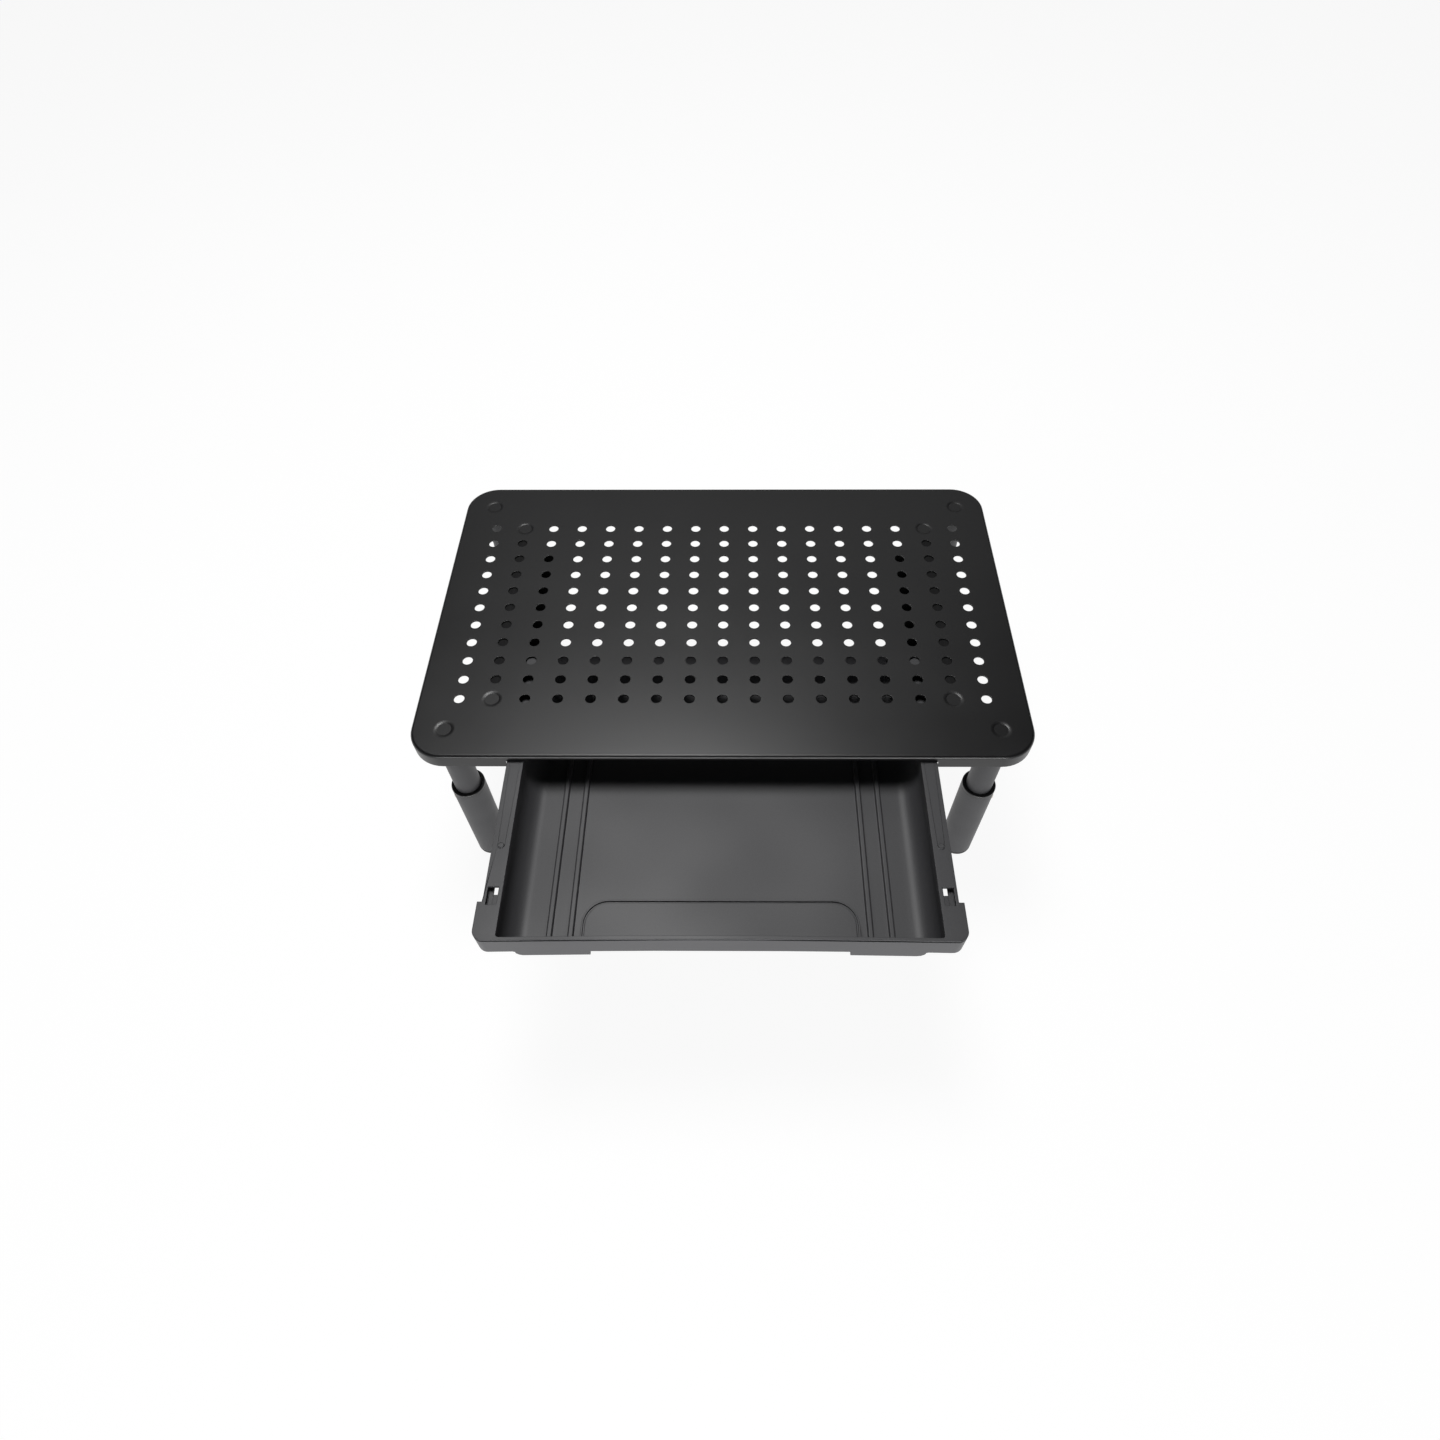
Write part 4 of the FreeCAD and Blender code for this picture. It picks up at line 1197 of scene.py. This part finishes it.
def spring_path(strip):
    """The clip spring's middle line, of (across, up, radius) points.

    It has one leg behind the button, a tight bend at its top and one leg on the far wall.
    """
    low = SPRING_LOW.z
    high = SPRING_HIGH.z - strip / 2
    button = middle("front_right_snap_button").z
    front = SPRING_HIGH.x - LEG_MIDDLE.x - strip / 2
    back = SPRING_LOW.x - LEG_MIDDLE.x + strip / 2
    half_bend = 1 * MM
    bend_radius = 0.9 * MM
    pad_reach = 5 * MM
    knee = button - 2 * MM
    return [(back, low, 0), (back, knee, 3 * MM), (-half_bend, high, bend_radius),
            (half_bend, high, bend_radius), (front, button + pad_reach, 4 * MM),
            (front, button - pad_reach, 0)]


def strip_outline(path, thickness):
    """The outline of a strip that follows an open path with rounded bends."""
    line = softened(path, steps=6)
    left, right = [], []
    for i, point in enumerate(line):
        ahead = (line[min(i + 1, len(line) - 1)] - line[max(i - 1, 0)]).normalized()
        side = Vector((-ahead.y, ahead.x)) * thickness / 2
        left.append(point + side)
        right.append(point - side)
    return left + right[::-1]


class RISER_OT_locks(bpy.types.Operator):
    """Build the snap buttons and their clip springs"""
    bl_idname = "riser.locks"
    bl_label = "Snap buttons and springs"

    def execute(self, context):
        sizes = context.scene.riser_legs
        height = middle("front_right_snap_button").z
        width = SPRING_HIGH.y - SPRING_LOW.y
        for leg in LEGS:
            pin = laid_along_x(lathe(button_outline(sizes), turns=48))
            bmesh.ops.translate(pin, verts=pin.verts, vec=(0, 0, height))
            button = new_piece(f"{leg}_button_pin", at_leg(pin, leg))
            smooth(button)
            hand_over(button, "polished_button_steel", f"{leg}_button", f"{leg}_snap_button")
            path = spring_path(sizes.spring_strip)
            strip = extruded(strip_outline(path, sizes.spring_strip), width)
            spring = new_piece(f"{leg}_spring_strip", at_leg(strip, leg))
            round_edges(spring, sizes.spring_strip / 6, sharper_than=60)
            smooth(spring)
            hand_over(spring, "spring_steel", "root", f"{leg}_clip_spring")
        return {"FINISHED"}


# --- Stage ---

def paper_white():
    """Background paper, rolled out flat, from uncoated white pulp.

    It gives the eye an even matt white. Nearly all of it is the paper's own glow, so shadows stay faint. Its
    fibre is drawn 2 mm across.
    """
    made, tree = new_material("paper_white")
    place = add(tree, "ShaderNodeTexCoord").outputs["Object"]
    fibre = add(tree, "ShaderNodeTexNoise", {"Vector": place, "Scale": per_metre(2), "Detail": 2.0})
    bump = add(tree, "ShaderNodeBump", {"Height": fibre.outputs[0], "Strength": 0.05,
                                        "Distance": 0.02 * MM})
    matt = add(tree, "ShaderNodeBsdfPrincipled", {"Base Color": (0.1, 0.1, 0.1, 1), "Roughness": 0.9,
                                                  "Specular IOR Level": 0.0, "Normal": bump.outputs[0],
                                                  "Emission Color": (1, 1, 1, 1),
                                                  "Emission Strength": 0.92})
    surface(tree, matt)
    return made


# Name, place from the middle of the shelf's top in metres, width and depth in metres, and power in watts
SOFTBOXES = (("overhead_softbox", (-0.14, 0.27, 1.25), 0.5, 0.5, 13),
             ("rear_panel", (0, 1.3, 1.15), 1.6, 0.5, 1.7),
             ("front_softbox", (0, -1.5, 0.1), 1.4, 0.3, 21))


def soft_light(name, place, target, width, depth, power):
    """A soft box that shines from a place towards a target and isn't seen itself."""
    lamp = bpy.data.lights.new(name, "AREA")
    lamp.shape = "RECTANGLE"
    lamp.size = width
    lamp.size_y = depth
    lamp.energy = power
    box = bpy.data.objects.new(name, lamp)
    box.location = place
    box.visible_camera = False
    box.rotation_mode = "QUATERNION"
    box.rotation_quaternion = (target - place).to_track_quat("-Z", "Y")
    bpy.context.scene.collection.objects.link(box)


def studio_world():
    """A white room for the eye, and for the light a glow round the horizon with a dim ceiling above."""
    world = bpy.data.worlds.new("studio")
    world.use_nodes = True
    tree = world.node_tree
    tree.nodes.clear()
    way = add(tree, "ShaderNodeSeparateXYZ", {0: add(tree, "ShaderNodeTexCoord").outputs["Generated"]})
    glow = add(tree, "ShaderNodeMapRange", {"Value": way.outputs["Z"], "From Min": 0.1, "From Max": 0.5,
                                            "To Min": 0.3, "To Max": 0.03})
    seen = add(tree, "ShaderNodeLightPath").outputs["Is Camera Ray"]
    shade = add(tree, "ShaderNodeMath", {0: glow.outputs[0], 1: seen}, operation="MAXIMUM")
    room = add(tree, "ShaderNodeBackground", {"Color": (1, 1, 1, 1), "Strength": shade.outputs[0]})
    add(tree, "ShaderNodeOutputWorld", {0: room.outputs[0]})
    bpy.context.scene.world = world


class RISER_OT_stage(bpy.types.Operator):
    """Set up the pale floor, the soft lights and the camera"""
    bl_idname = "riser.stage"
    bl_label = "Stage"

    def execute(self, context):
        scene = context.scene
        sizes = scene.riser_stage
        work = bmesh.new()
        bmesh.ops.create_grid(work, x_segments=2, y_segments=2, size=sizes.floor / 2)
        floor = new_piece("paper_floor", work)
        floor.data.materials.append(paper_white())
        studio_world()
        shelf = Vector((0, SHELF_MIDDLE.y, SHELF_HIGH.z))
        for name, offset, width, depth, power in SOFTBOXES:
            soft_light(name, shelf + Vector(offset), shelf, width, depth, power)
        scene.view_settings.view_transform = "Standard"
        camera = bpy.data.objects.new("camera", bpy.data.cameras.new("camera"))
        camera.data.sensor_width = 36
        camera.data.lens = sizes.lens
        camera.data.shift_x = sizes.shift
        camera.data.clip_end = 2 * sizes.floor
        forward = Vector((math.sin(sizes.aside) * math.cos(sizes.down),
                          math.cos(sizes.aside) * math.cos(sizes.down), -math.sin(sizes.down)))
        camera.location = sizes.eye
        camera.rotation_mode = "QUATERNION"
        camera.rotation_quaternion = (forward.to_track_quat("-Z", "Y")
                                      @ Quaternion((0, 0, 1), sizes.roll))
        scene.collection.objects.link(camera)
        scene.camera = camera
        return {"FINISHED"}


class RISER_PT_panel(bpy.types.Panel):
    bl_idname = "RISER_PT_panel"
    bl_label = "Monitor riser stand"
    bl_space_type = "VIEW_3D"
    bl_region_type = "UI"
    bl_category = "Riser"

    def draw(self, context):
        column = self.layout.column()
        for step in STEPS:
            column.operator(step.bl_idname)


SIZE_GROUPS = {"riser_shelf": ShelfSizes, "riser_legs": LegSizes, "riser_fasteners": FastenerSizes,
               "riser_edges": EdgeSizes, "riser_colours": FinishColours, "riser_stage": StageSizes}
STEPS = (RISER_OT_shelf, RISER_OT_fasteners, RISER_OT_rails, RISER_OT_drawer, RISER_OT_leg_tubes,
         RISER_OT_leg_fittings, RISER_OT_locks, RISER_OT_stage)
CLASSES = tuple(SIZE_GROUPS.values()) + STEPS + (RISER_PT_panel,)


def register():
    for each in CLASSES:
        bpy.utils.register_class(each)
    for name, group in SIZE_GROUPS.items():
        setattr(bpy.types.Scene, name, PointerProperty(type=group))


def unregister():
    for name in SIZE_GROUPS:
        delattr(bpy.types.Scene, name)
    for each in reversed(CLASSES):
        bpy.utils.unregister_class(each)


def main():
    register()
    bpy.ops.riser.shelf()
    bpy.ops.riser.fasteners()
    bpy.ops.riser.rails()
    bpy.ops.riser.drawer()
    bpy.ops.riser.leg_tubes()
    bpy.ops.riser.leg_fittings()
    bpy.ops.riser.locks()
    bpy.ops.riser.stage()


if __name__ == "__main__":
    main()
